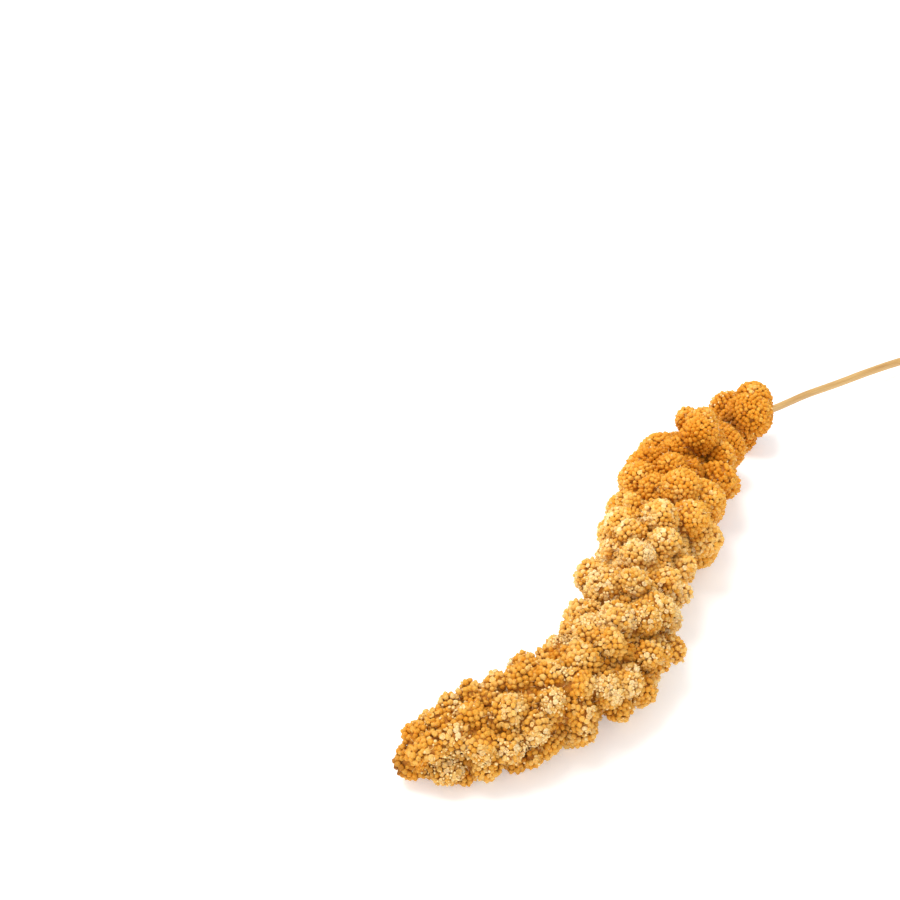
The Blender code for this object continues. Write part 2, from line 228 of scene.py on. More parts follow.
def ripple(points: np.ndarray, size: float, shift: float = 0.0) -> np.ndarray:
    """Smooth noise at each point, seldom past 0.7 either way.

    Args:
        points: places, one a row.
        size: the width of the noise's features.
        shift: moves the pattern, so that two ripples differ.

    Returns:
        One value a point.
    """
    offset = Vector((shift, shift * 0.7, -shift))
    return np.array([noise.noise(Vector(point) / size + offset) for point in points])


def uniform_draws(rng: random.Random, count: int, low: float = 0.0,
                  high: float = 1.0) -> np.ndarray:
    """Random numbers from low to high, one a draw."""
    return np.array([rng.uniform(low, high) for _ in range(count)])


def round_draws(rng: random.Random, count: int) -> np.ndarray:
    """Random vectors that favour no direction, one a row."""
    return np.array([[rng.gauss(0, 1) for _ in range(3)] for _ in range(count)])


def picked(found: Found, chosen: np.ndarray) -> Found:
    """The chosen rows of each array."""
    return {name: values[chosen] for name, values in found.items()}


def keep_above(places: np.ndarray, least: Any) -> None:
    """Raise the places, one a row, that lie lower than a height or an array of heights."""
    places[:, 2] = np.maximum(places[:, 2], least)


def kd_tree(points: np.ndarray) -> KDTree:
    """A search tree of points.

    Args:
        points: places, one a row.

    Returns:
        The tree, which knows each point by its row's number.
    """
    tree = KDTree(len(points))
    for index, point in enumerate(points):
        tree.insert(point, index)
    tree.balance()
    return tree


# ---------------------------------------------------------------------------------------------
# Shader and geometry trees
# ---------------------------------------------------------------------------------------------

def add_node(tree: bpy.types.NodeTree, kind: str, settings: Optional[dict] = None,
             **links: Any) -> bpy.types.Node:
    """Add a node with its settings, values and links.

    Args:
        tree: the tree that gets the node.
        kind: Blender's name for the kind of node.
        settings: the node's own properties.
        links: a value or an output socket for each input, by its name with _ for a space, or
            by i and its number.

    Returns:
        The new node.
    """
    node = tree.nodes.new(kind)
    for name, value in (settings or {}).items():
        setattr(node, name, value)
    for name, value in links.items():
        if name[0] == "i" and name[1:].isdigit():
            socket = node.inputs[int(name[1:])]
        else:
            socket = node.inputs[name.replace("_", " ")]
        if isinstance(value, bpy.types.NodeSocket):
            tree.links.new(value, socket)
        else:
            socket.default_value = value
    return node


def set_ramp(node: bpy.types.Node, stops: list[tuple[float, str]]) -> bpy.types.Node:
    """Give a colour ramp its stops.

    Args:
        node: the ramp's node.
        stops: the places from 0 to 1 and their hex colours.

    Returns:
        The same node.
    """
    elements = node.color_ramp.elements
    while len(elements) < len(stops):
        elements.new(0.5)
    for element, (place, colour) in zip(elements, stops):
        element.position = place
        element.color = linear(colour)
    return node


def new_material(name: str) -> tuple[bpy.types.Material, bpy.types.NodeTree]:
    """A material with an empty node tree.

    Args:
        name: its name.

    Returns:
        The material and its tree.
    """
    material = bpy.data.materials.new(name)
    material.use_nodes = True
    material.node_tree.nodes.clear()
    return material, material.node_tree


def surfaced(material: bpy.types.Material, shader: bpy.types.Node) -> bpy.types.Material:
    """The same material, with a shader as its surface."""
    add_node(material.node_tree, "ShaderNodeOutputMaterial", Surface=shader.outputs["BSDF"])
    return material


@dataclass(frozen=True)
class GrainFinish:
    """Millet grain, ripened and dried in its hull.

    The hull is a hard, smooth, thin shell that dried on the plant: a soft gloss, golden orange,
    cream where it has bleached. Its low parts are mixed towards the brown of the husk that holds
    it, which also stands for painted shade between the grains, and grains deep between the lobes
    get painted shade in a darker brown. Light sinks a little way into the starch under it.
    """

    name: str = "dried_millet_grain"
    deep: str = "#C87B0C"
    orange: str = "#DF9624"
    golden: str = "#E6AA40"
    pale: str = "#EFC470"
    cream: str = "#F7DEA8"
    # The husk's brown at a grain's foot, which also stands for painted shade between the grains.
    gap: str = "#A8640E"
    # Painted shade: the darker brown of grains deep between the lobes.
    crease: str = "#7E450A"
    roughness: float = 0.55
    glow: float = 0.3
    glow_depth: float = 0.9 * MM
    mottle_size: float = 0.9 * MM
    mottle_shade: float = 0.09
    held_share: float = 0.42
    pore_depth: float = 0.08 * MM

    def build(self) -> bpy.types.Material:
        """Make it, from the tone, the depth, which is painted shade, and the rise that the grains
        carry.

        Returns:
            The material.
        """
        material, tree = new_material(self.name)
        place = add_node(tree, "ShaderNodeTexCoord").outputs["Object"]
        tone, depth, rise = (
            add_node(tree, "ShaderNodeAttribute", {"attribute_name": name}).outputs["Fac"]
            for name in ("tone", "depth", "rise"))
        mottle = add_node(tree, "ShaderNodeTexNoise", Vector=place, Scale=1 / self.mottle_size,
                          Detail=3.0, Roughness=0.6).outputs["Fac"]
        shade = add_node(tree, "ShaderNodeMapRange", Value=mottle, From_Min=0.3, From_Max=0.7,
                         To_Min=-self.mottle_shade,
                         To_Max=self.mottle_shade).outputs["Result"]
        mixed = add_node(tree, "ShaderNodeMath", {"operation": "ADD", "use_clamp": True},
                         i0=tone, i1=shade).outputs["Value"]
        ramp = set_ramp(add_node(tree, "ShaderNodeValToRGB", Fac=mixed), [
            (0.0, self.deep), (0.3, self.orange), (0.55, self.golden), (0.8, self.pale),
            (1.0, self.cream)])
        # A grain's low parts are mixed towards the brown of the bed: the husk that holds it, and
        # painted shade between the grains. The depth attribute then adds painted shade in a
        # darker brown to the grains deep between the lobes.
        low = add_node(tree, "ShaderNodeMapRange", Value=rise, From_Min=0.05, From_Max=0.5,
                       To_Min=self.held_share, To_Max=0.0).outputs["Result"]
        held_and_shaded = add_node(tree, "ShaderNodeMix", {"data_type": "RGBA"}, i0=low,
                        i6=ramp.outputs["Color"], i7=linear(self.gap)).outputs[2]
        colour = add_node(tree, "ShaderNodeMix", {"data_type": "RGBA"}, i0=depth, i6=held_and_shaded,
                          i7=linear(self.crease)).outputs[2]
        bump = add_node(tree, "ShaderNodeBump", Strength=0.25, Distance=self.pore_depth,
                        Height=mottle)
        shader = add_node(tree, "ShaderNodeBsdfPrincipled", {"subsurface_method": "BURLEY"},
                          Base_Color=colour, Roughness=self.roughness, IOR=1.4,
                          Specular_IOR_Level=0.3,
                          Subsurface_Weight=self.glow, Subsurface_Radius=(1.0, 0.6, 0.25),
                          Subsurface_Scale=self.glow_depth, Normal=bump.outputs["Normal"])
        return surfaced(material, shader)


@dataclass(frozen=True)
class ChaffFinish:
    """Millet chaff, the papery scales that the grains shed as they dry.

    Thin and matt, cream with a straw-brown foot, and light shows through a little.
    """

    name: str = "papery_chaff"
    foot: str = "#CF9448"
    body: str = "#E8B96C"
    edge: str = "#F4D594"
    roughness: float = 0.75
    glow: float = 0.2
    glow_depth: float = 0.5 * MM

    def build(self) -> bpy.types.Material:
        """Make it, from the rise and tone that the scales carry.

        Returns:
            The material.
        """
        material, tree = new_material(self.name)
        rise, tone = (
            add_node(tree, "ShaderNodeAttribute", {"attribute_name": name}).outputs["Fac"]
            for name in ("rise", "tone"))
        both = add_node(tree, "ShaderNodeMath", {"operation": "MULTIPLY_ADD"}, i0=tone, i1=0.5,
                        i2=rise).outputs["Value"]
        ramp = set_ramp(add_node(tree, "ShaderNodeValToRGB", Fac=both),
                        [(0.1, self.foot), (0.6, self.body), (1.0, self.edge)])
        shader = add_node(tree, "ShaderNodeBsdfPrincipled", Base_Color=ramp.outputs["Color"],
                          Roughness=self.roughness, Subsurface_Weight=self.glow,
                          Subsurface_Radius=(1.0, 0.7, 0.4),
                          Subsurface_Scale=self.glow_depth)
        return surfaced(material, shader)


@dataclass(frozen=True)
class BedFinish:
    """The bed that the grains sit in: short dried stalks and husks, tangled, brown to straw."""

    name: str = "tangled_husk_bed"
    dark: str = "#94560F"
    brown: str = "#C27C28"
    straw: str = "#DA9E4A"
    tangle_size: float = 1.1 * MM
    tangle_depth: float = 0.3 * MM

    def build(self) -> bpy.types.Material:
        """Make it: streaky noise from dark brown to straw, matt and rough.

        Returns:
            The material.
        """
        material, tree = new_material(self.name)
        place = add_node(tree, "ShaderNodeTexCoord").outputs["Object"]
        tangle = add_node(tree, "ShaderNodeTexNoise", Vector=place, Scale=1 / self.tangle_size,
                          Detail=4.0, Roughness=0.65, Distortion=1.5).outputs["Fac"]
        ramp = set_ramp(add_node(tree, "ShaderNodeValToRGB", Fac=tangle),
                        [(0.3, self.dark), (0.55, self.brown), (0.8, self.straw)])
        bump = add_node(tree, "ShaderNodeBump", Strength=0.8, Distance=self.tangle_depth,
                        Height=tangle)
        shader = add_node(tree, "ShaderNodeBsdfPrincipled", Base_Color=ramp.outputs["Color"],
                          Roughness=0.9, Normal=bump.outputs["Normal"])
        return surfaced(material, shader)


@dataclass(frozen=True)
class BristleFinish:
    """Foxtail bristles: stiff dried hairs, pale straw with a slight gloss."""

    name: str = "straw_bristle"
    foot: str = "#B8792F"
    tip: str = "#F4DCA6"

    def build(self) -> bpy.types.Material:
        """Make it, paler towards each hair's tip.

        Returns:
            The material.
        """
        material, tree = new_material(self.name)
        rise = add_node(tree, "ShaderNodeAttribute", {"attribute_name": "rise"}).outputs["Fac"]
        ramp = set_ramp(add_node(tree, "ShaderNodeValToRGB", Fac=rise),
                        [(0.1, self.foot), (0.7, self.tip)])
        shader = add_node(tree, "ShaderNodeBsdfPrincipled", Base_Color=ramp.outputs["Color"],
                          Roughness=0.45, IOR=1.5)
        return surfaced(material, shader)


@dataclass(frozen=True)
class StrawFinish:
    """Dried grass stem, cut with shears.

    The skin is waxy and drawn lengthwise: long fibres, a faint gloss, tan with redder streaks
    here and there. The cut shows pale, open pith.
    """

    name: str = "dry_straw_stem"
    tan: str = "#BE9250"
    light: str = "#DDB878"
    red: str = "#9A5A26"
    pith: str = "#EFE0BC"
    fibre_width: float = 0.35 * MM
    fibre_length: float = 24 * MM
    fibre_depth: float = 0.08 * MM
    blush_width: float = 2.4 * MM
    blush_length: float = 30 * MM

    def build(self) -> bpy.types.Material:
        """Make it, from the stem's own UV map and its attribute for the cut.

        Returns:
            The material.
        """
        material, tree = new_material(self.name)
        place = add_node(tree, "ShaderNodeUVMap", {"uv_map": "along"}).outputs["UV"]
        # The map is in metres along and around, so a fibre is long one way and thin the other.
        stretched = add_node(tree, "ShaderNodeMapping", Vector=place,
                             Scale=(1 / self.fibre_length, 1 / self.fibre_width,
                                    1.0)).outputs["Vector"]
        fibres = add_node(tree, "ShaderNodeTexNoise", Vector=stretched, Scale=1.0, Detail=3.0,
                          Roughness=0.6).outputs["Fac"]
        wide = add_node(tree, "ShaderNodeMapping", Vector=place,
                        Scale=(1 / self.blush_length, 1 / self.blush_width,
                               1.0)).outputs["Vector"]
        flush = add_node(tree, "ShaderNodeTexNoise", Vector=wide, Scale=1.0, Detail=2.0,
                         Roughness=0.5).outputs["Fac"]
        skin = set_ramp(add_node(tree, "ShaderNodeValToRGB", Fac=fibres),
                        [(0.3, self.tan), (0.72, self.light)])
        blush = add_node(tree, "ShaderNodeMapRange", Value=flush, From_Min=0.5, From_Max=0.75,
                         To_Min=0.0, To_Max=0.5).outputs["Result"]
        reddened = add_node(tree, "ShaderNodeMix", {"data_type": "RGBA"}, i0=blush,
                            i6=skin.outputs["Color"], i7=linear(self.red)).outputs[2]
        cut = add_node(tree, "ShaderNodeAttribute", {"attribute_name": "cut"}).outputs["Fac"]
        colour = add_node(tree, "ShaderNodeMix", {"data_type": "RGBA"}, i0=cut, i6=reddened,
                          i7=linear(self.pith)).outputs[2]
        bump = add_node(tree, "ShaderNodeBump", Strength=0.5, Distance=self.fibre_depth,
                        Height=fibres)
        shader = add_node(tree, "ShaderNodeBsdfPrincipled", Base_Color=colour, Roughness=0.42,
                          IOR=1.5, Normal=bump.outputs["Normal"])
        return surfaced(material, shader)


@dataclass(frozen=True)
class BackdropFinish:
    """Opal acrylic, the plain floor: a matt white sheet that a little light comes up through."""

    name: str = "matt_opal_acrylic"
    white: str = "#F6F8FB"
    glow: float = 0.31
    tooth_size: float = 0.6 * MM
    tooth_depth: float = 0.05 * MM

    def build(self) -> bpy.types.Material:
        """Make it, with a faint tooth.

        Returns:
            The material.
        """
        material, tree = new_material(self.name)
        place = add_node(tree, "ShaderNodeTexCoord").outputs["Object"]
        # The tooth is about 0.1 mm. It is drawn at 0.6 mm, the least that can show.
        tooth = add_node(tree, "ShaderNodeTexNoise", Vector=place, Scale=1 / self.tooth_size,
                         Detail=2.0).outputs["Fac"]
        bump = add_node(tree, "ShaderNodeBump", Strength=0.05, Distance=self.tooth_depth,
                        Height=tooth)
        shader = add_node(tree, "ShaderNodeBsdfPrincipled", Base_Color=linear(self.white),
                          Roughness=0.9, Normal=bump.outputs["Normal"],
                          Emission_Color=linear(self.white), Emission_Strength=self.glow)
        return surfaced(material, shader)


# ---------------------------------------------------------------------------------------------
# Lobes
# ---------------------------------------------------------------------------------------------

class Centreline:
    """The smooth line from the tip of the head to the cut end, read by distance from the tip."""

    STEPS = 24
    STRIDE = 3
    REACH = 3 * MM

    def __init__(self, points: list[tuple[float, ...]]) -> None:
        """Draw the line.

        Args:
            points: the places that it passes through, in metres.
        """
        route = [np.array(point) for point in points]
        ends = [2 * route[0] - route[1], *route, 2 * route[-1] - route[-2]]
        line = []
        for a, b, c, d in zip(ends, ends[1:], ends[2:], ends[3:]):
            for step in range(self.STEPS):
                t = step / self.STEPS
                line.append(0.5 * (2 * b + (c - a) * t + (2 * a - 5 * b + 4 * c - d) * t ** 2
                                   + (3 * b - a - 3 * c + d) * t ** 3))
        line.append(route[-1])
        self.line = np.array(line)
        lengths = np.linalg.norm(np.diff(self.line, axis=0), axis=1)
        self.arcs = np.concatenate([[0.0], np.cumsum(lengths)])
        self.length = float(self.arcs[-1])

    def point(self, arc: float) -> np.ndarray:
        """The point at a distance from the tip."""
        return np.array([np.interp(arc, self.arcs, self.line[:, axis]) for axis in range(3)])

    def axes(self, arc: float) -> tuple[np.ndarray, np.ndarray, np.ndarray]:
        """The line's directions at a distance.

        Args:
            arc: the distance from the tip.

        Returns:
            The directions towards the cut end, to the -Y side and up.
        """
        along = unit(self.point(arc + self.REACH) - self.point(arc - self.REACH))
        side = unit(np.cross(along, (0, 0, 1)))
        return along, side, np.cross(side, along)

    def outward(self, arc: float, angle: float) -> np.ndarray:
        """The direction square to the line at an angle round it."""
        _, side, up = self.axes(arc)
        return side * math.cos(angle) + up * math.sin(angle)

    def nearest(self, points: np.ndarray) -> tuple[np.ndarray, np.ndarray, np.ndarray]:
        """Where the line is nearest to each point.

        Args:
            points: places, one a row.

        Returns:
            The distances along the line, the distances from it, and the directions from it.
        """
        gaps = np.linalg.norm(points[:, None, :] - self.line[None, ::self.STRIDE, :], axis=2)
        index = gaps.argmin(axis=1) * self.STRIDE
        away = points - self.line[index]
        return self.arcs[index], np.linalg.norm(away, axis=1), unit(away)


@dataclass(frozen=True)
class Lobe:
    """A cluster of grains: its place along and round the head, its width, and how far it
    stands out of the envelope."""

    arc: float
    angle: float
    width: float
    out: float = 0.0


@dataclass(frozen=True)
class Ellipsoid:
    """A lobe's rounded form: centre, axes as rows, the long one last, and half sizes."""

    centre: np.ndarray
    axes: np.ndarray
    sizes: np.ndarray

    def inside(self, points: np.ndarray, grown: float) -> np.ndarray:
        """Whether each point lies inside the form, grown by a margin."""
        local = (points - self.centre) @ self.axes.T / (self.sizes + grown)
        return (local * local).sum(axis=1) < 1

    def matrix(self, grown: float) -> Matrix:
        """The matrix that turns a unit sphere into the form.

        Args:
            grown: a margin that the form is grown by.

        Returns:
            The matrix.
        """
        result = Matrix.Identity(4)
        for column in range(3):
            result.col[column][:3] = self.axes[column] * (self.sizes[column] + grown)
        result.translation = self.centre
        return result


@dataclass
class GrainCloud:
    """Points that grains, scales or hairs stand on, as arrays of one row a point."""

    place: np.ndarray
    aim: np.ndarray
    size: np.ndarray
    tone: np.ndarray
    depth: np.ndarray
    kind: np.ndarray
    arc: np.ndarray

    def part(self, chosen: np.ndarray) -> "GrainCloud":
        """The chosen points alone."""
        return GrainCloud(*(getattr(self, name)[chosen] for name in self.__annotations__))


def sphere_points(count: int, turn: float) -> np.ndarray:
    """Points spread evenly over a unit sphere in a golden-angle spiral.

    Args:
        count: how many points.
        turn: how far the spiral is turned, in radians.

    Returns:
        The points, one a row.
    """
    index = np.arange(count) + 0.5
    height = 1 - 2 * index / count
    radius = np.sqrt(1 - height * height)
    angle = index * GOLDEN_ANGLE + turn
    return np.stack([radius * np.cos(angle), radius * np.sin(angle), height], axis=1)


def thinned(points: np.ndarray, gaps: np.ndarray, order: np.ndarray) -> np.ndarray:
    """The points that stay when none may be nearer to another than its gap.

    Args:
        points: places, one a row.
        gaps: the least distance for each point.
        order: the points' numbers, those to keep first.

    Returns:
        The numbers of the points that stay.
    """
    tree = kd_tree(points)
    gone = np.zeros(len(points), bool)
    kept = []
    for index in order:
        if gone[index]:
            continue
        kept.append(index)
        for _, other, _ in tree.find_range(points[index], gaps[index]):
            gone[other] = True
    return np.array(kept)


# ---------------------------------------------------------------------------------------------
# Meshes
# ---------------------------------------------------------------------------------------------

def link(name: str, mesh: bpy.types.Mesh) -> bpy.types.Object:
    """A new object in the scene with a mesh.

    Args:
        name: its name.
        mesh: its mesh.

    Returns:
        The object, at the origin.
    """
    result = bpy.data.objects.new(name, mesh)
    bpy.context.scene.collection.objects.link(result)
    return result


def evaluated_mesh(source: bpy.types.Object) -> bpy.types.Mesh:
    """A plain mesh of an object with its modifiers applied.

    Args:
        source: the object.

    Returns:
        The mesh.
    """
    bpy.context.view_layer.update()
    graph = bpy.context.evaluated_depsgraph_get()
    return bpy.data.meshes.new_from_object(source.evaluated_get(graph))


def to_mesh(name: str, work: bmesh.types.BMesh) -> bpy.types.Mesh:
    """A mesh of what has been drawn.

    Args:
        name: the mesh's name.
        work: what has been drawn, which is freed.

    Returns:
        The mesh.
    """
    mesh = bpy.data.meshes.new(name)
    work.to_mesh(mesh)
    work.free()
    return mesh


def add_attribute(mesh: bpy.types.Mesh, name: str, values: np.ndarray) -> None:
    """Store one number or vector a vertex.

    Args:
        mesh: the mesh that gets them.
        name: the attribute's name.
        values: one number, or one vector as a row, for each vertex.
    """
    kind, key = ("FLOAT_VECTOR", "vector") if np.ndim(values) == 2 else ("FLOAT", "value")
    if np.asarray(values).dtype.kind == "i":
        kind = "INT"
    mesh.attributes.new(name, kind, "POINT").data.foreach_set(key, np.ravel(values))


@dataclass(frozen=True)
class Ring:
    """One ring of a small turned shape: its radius, height, colour height and lips.

    rise is 0 at the foot's colour and 1 at the crown's. A ring with lips waves up at as many
    places round it, by lift.
    """

    radius: float
    height: float
    rise: float
    lift: float = 0.0


def turned(name: str, rings: list[Ring], sides: int, squash: float = 1.0,
           lips: int = 2) -> bpy.types.Mesh:
    """A small closed turned shape with rise as an attribute.

    Args:
        name: the mesh's name.
        rings: its rings from the upper pole to the lower one, both poles at radius 0.
        sides: how many sides each ring has.
        squash: the width across over the width along.
        lips: how many lips the rings with a lift have.

    Returns:
        The mesh, faces outwards.
    """
    verts = [(0.0, 0.0, rings[0].height)]
    rises = [rings[0].rise]
    for number, ring in enumerate(rings[1:-1]):
        for side in range(sides):
            angle = math.tau * (side + number % 2 / 2) / sides
            height = ring.height + ring.lift * math.cos(lips * angle)
            verts.append((ring.radius * math.cos(angle),
                          ring.radius * math.sin(angle) * squash, height))
            rises.append(ring.rise)
    verts.append((0.0, 0.0, rings[-1].height))
    rises.append(rings[-1].rise)
    faces = []
    for side in range(sides):
        after = (side + 1) % sides
        faces.append((0, 1 + side, 1 + after))
        for number in range(len(rings) - 3):
            upper, lower = 1 + number * sides, 1 + (number + 1) * sides
            odd = number % 2
            faces.append((upper + side, lower + (after if odd else side), upper + after))
            faces.append((lower + side, lower + after, upper + (side if odd else after)))
        last = 1 + (len(rings) - 3) * sides
        faces.append((last + side, len(verts) - 1, last + after))
    mesh = bpy.data.meshes.new(name)
    mesh.from_pydata(verts, [], faces)
    work = bmesh.new()
    work.from_mesh(mesh)
    bmesh.ops.recalc_face_normals(work, faces=work.faces)
    work.to_mesh(mesh)
    work.free()
    add_attribute(mesh, "rise", np.array(rises))
    mesh.shade_smooth()
    return mesh


def dented(meshes: list[bpy.types.Mesh], count: int, depth: float,
           rng: random.Random) -> list[bpy.types.Mesh]:
    """Uneven copies of small shapes, as no two grains are alike.

    Args:
        meshes: the even shapes.
        count: how many copies each one gets.
        depth: how far a point may move, over the shape's radius.
        rng: the source of random numbers.

    Returns:
        The copies: all the shapes once, then all of them again, and so on.
    """
    copies = []
    for number in range(count):
        for mesh in meshes:
            copy = mesh.copy()
            copy.name = f"{mesh.name}_{number}"
            for vert in copy.vertices:
                vert.co += Vector([rng.gauss(0, 1) for _ in range(3)]) * depth
            copies.append(copy)
    return copies


def bent(mesh: bpy.types.Mesh, bend: float) -> bpy.types.Mesh:
    """A mesh whose points lean along +X, by bend times their height squared.

    Args:
        mesh: the mesh.
        bend: how much it bends.

    Returns:
        The same mesh.
    """
    for vert in mesh.vertices:
        vert.co.x += bend * vert.co.z * abs(vert.co.z)
    return mesh


class Scatterer:
    """Puts small shapes on a cloud of points with a Geometry Nodes tree."""

    def __init__(self, name: str, shapes: list[bpy.types.Mesh],
                 material: bpy.types.Material, tilt: float, scale: float = 1.0) -> None:
        """Build the tree once for one family of shapes.

        Args:
            name: the family's name.
            shapes: the meshes to choose from, by the kind that each point carries.
            material: the finish.
            tilt: how far a shape may lean from its aim, in radians.
            scale: a factor on each point's size.
        """
        self.collection = bpy.data.collections.new(name + "_shapes")
        for number, shape in enumerate(shapes):
            self.collection.objects.link(bpy.data.objects.new(f"{name}_{number:02d}", shape))
        self.tilt = tilt
        self.scale = scale
        self.material = material
        self.tree, self.sockets = self.build_tree(name)

    @staticmethod
    def build_tree(name: str) -> tuple[bpy.types.NodeTree, dict[str, str]]:
        """The tree: a shape on each point, aimed, tilted, spun and sized, then made real.

        Args:
            name: the family's name.

        Returns:
            The tree, and the identifier of each named input.
        """
        tree = bpy.data.node_groups.new(name + "_on_points", "GeometryNodeTree")
        face = tree.interface
        face.new_socket("Geometry", in_out="OUTPUT", socket_type="NodeSocketGeometry")
        face.new_socket("Points", in_out="INPUT", socket_type="NodeSocketGeometry")
        sockets = {}
        for title, kind in (("Shapes", "Collection"), ("Tilt", "Float"), ("Scale", "Float"),
                            ("Seed", "Int"), ("Material", "Material")):
            socket = face.new_socket(title, in_out="INPUT", socket_type="NodeSocket" + kind)
            sockets[title] = socket.identifier
        given = add_node(tree, "NodeGroupInput").outputs
        read_vector = {"data_type": "FLOAT_VECTOR"}
        aim = add_node(tree, "GeometryNodeInputNamedAttribute", read_vector, Name="aim")
        size = add_node(tree, "GeometryNodeInputNamedAttribute", {"data_type": "FLOAT"},
                        Name="size")
        kind = add_node(tree, "GeometryNodeInputNamedAttribute", {"data_type": "INT"},
                        Name="kind")
        shapes = add_node(tree, "GeometryNodeCollectionInfo", Collection=given["Shapes"],
                          Separate_Children=True, Reset_Children=True)
        aimed = add_node(tree, "FunctionNodeAlignRotationToVector", {"axis": "Z"},
                         Vector=aim.outputs["Attribute"])
        less = add_node(tree, "ShaderNodeMath", {"operation": "MULTIPLY"}, i0=given["Tilt"],
                        i1=-1.0).outputs["Value"]
        low = add_node(tree, "ShaderNodeCombineXYZ", X=less, Y=less, Z=-math.pi)
        high = add_node(tree, "ShaderNodeCombineXYZ", X=given["Tilt"], Y=given["Tilt"],
                        Z=math.pi)
        turn = add_node(tree, "FunctionNodeRandomValue", read_vector, i0=low.outputs[0],
                        i1=high.outputs[0], Seed=given["Seed"])
        spun = add_node(tree, "FunctionNodeEulerToRotation", Euler=turn.outputs["Value"])
        leant = add_node(tree, "FunctionNodeRotateRotation", {"rotation_space": "LOCAL"},
                         Rotation=aimed.outputs["Rotation"], Rotate_By=spun.outputs["Rotation"])
        sized = add_node(tree, "ShaderNodeMath", {"operation": "MULTIPLY"},
                         i0=size.outputs["Attribute"], i1=given["Scale"]).outputs["Value"]
        placed = add_node(tree, "GeometryNodeInstanceOnPoints", Points=given["Points"],
                          Instance=shapes.outputs["Instances"], Pick_Instance=True,
                          Instance_Index=kind.outputs["Attribute"],
                          Rotation=leant.outputs["Rotation"], Scale=sized)
        real = add_node(tree, "GeometryNodeRealizeInstances",
                        Geometry=placed.outputs["Instances"])
        dressed = add_node(tree, "GeometryNodeSetMaterial", Geometry=real.outputs["Geometry"],
                           Material=given["Material"])
        add_node(tree, "NodeGroupOutput", Geometry=dressed.outputs["Geometry"])
        return tree, sockets

    def scatter(self, name: str, cloud: GrainCloud, seed: int) -> bpy.types.Object:
        """Shapes on a cloud of points, as one plain mesh.

        Args:
            name: the piece's name.
            cloud: the points.
            seed: the number that the tilts are drawn from.

        Returns:
            The piece, at the origin.
        """
        mesh = bpy.data.meshes.new(name + "_points")
        mesh.from_pydata(cloud.place.tolist(), [], [])
        for title in ("aim", "size", "tone", "depth", "kind"):
            add_attribute(mesh, title, getattr(cloud, title))
        points = link(name + "_points", mesh)
        nodes = points.modifiers.new("grow", "NODES")
        nodes.node_group = self.tree
        for title, value in (("Shapes", self.collection), ("Tilt", self.tilt),
                             ("Scale", self.scale), ("Seed", seed),
                             ("Material", self.material)):
            nodes[self.sockets[title]] = value
        grown = evaluated_mesh(points)
        grown.name = name
        bpy.data.objects.remove(points)
        for spare in ("aim", "size", "kind"):
            if spare in grown.attributes:
                grown.attributes.remove(grown.attributes[spare])
        return link(name, grown)

    def clear(self) -> None:
        """Remove the shapes once every piece is made."""
        for shape in list(self.collection.objects):
            bpy.data.objects.remove(shape)
        bpy.data.collections.remove(self.collection)


def dress(piece: bpy.types.Object, node: str) -> bpy.types.Object:
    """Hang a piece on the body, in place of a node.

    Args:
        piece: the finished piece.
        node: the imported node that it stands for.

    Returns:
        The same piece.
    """
    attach(piece, BODY)
    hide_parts(node)
    piece.data.calc_loop_triangles()
    LOG.info("%s: %d triangles", piece.name, len(piece.data.loop_triangles))
    return piece


# ---------------------------------------------------------------------------------------------
# Bodies of grain
# ---------------------------------------------------------------------------------------------

@dataclass(frozen=True)
class ToneShifts:
    """What each cause adds to a grain's tone, which runs from 0, deep orange, to 1, cream. The
    flank shift is painted shade, a deeper tone on grains sunk between the lobes, and open_air
    lifts every grain's tone evenly.
    """

    stray: float = 0.09
    frost: float = 0.1
    patch: float = 0.25
    lift: float = 0.05
    open_air: float = 0.07
    flank: float = -0.24
    lipped: float = 0.12
    opened: float = 0.22


@dataclass(frozen=True)
class CreviceShadeSizes:
    """Painted shade on grains that lie deep, in brown: lengths in metres, and shares from 0 to 1.
    """

    reach: float = 6 * MM
    least: float = 0.3 * MM
    most: float = 2.2 * MM
    flank: float = 7 * MM
    under_share: float = 0.1
    flank_share: float = 0.12
    most_share: float = 0.9


@dataclass(frozen=True)
class ChaffSizes:
    """How the papery scales lie: lengths in metres, the spacing over that of the grains."""

    pitch: float = 0.56
    anywhere: float = 0.015
    on_frost: float = 0.3
    on_patch: float = 0.62
    deepest: float = 5 * MM
    lifts: tuple[float, float] = (-0.1 * MM, 0.55 * MM)
    rest: float = 1.2 * MM
    splay: float = 0.9
    sizes: tuple[float, float] = (0.45 * MM, 0.85 * MM)
    crumb_size: float = 0.85
    tone: float = 0.4
    shares: tuple[int, int, int] = (6, 3, 1)


@dataclass(frozen=True)
class BristleSizes:
    """How the hairs stand: lengths in metres, and the share of the grains' places."""

    share: float = 0.12
    root: float = 0.9 * MM
    rest: float = 2.2 * MM
    splay: float = 0.5
    low: float = 5 * MM
    low_rise: float = 0.2
    lengths: tuple[float, float] = (2.4 * MM, 3.8 * MM)


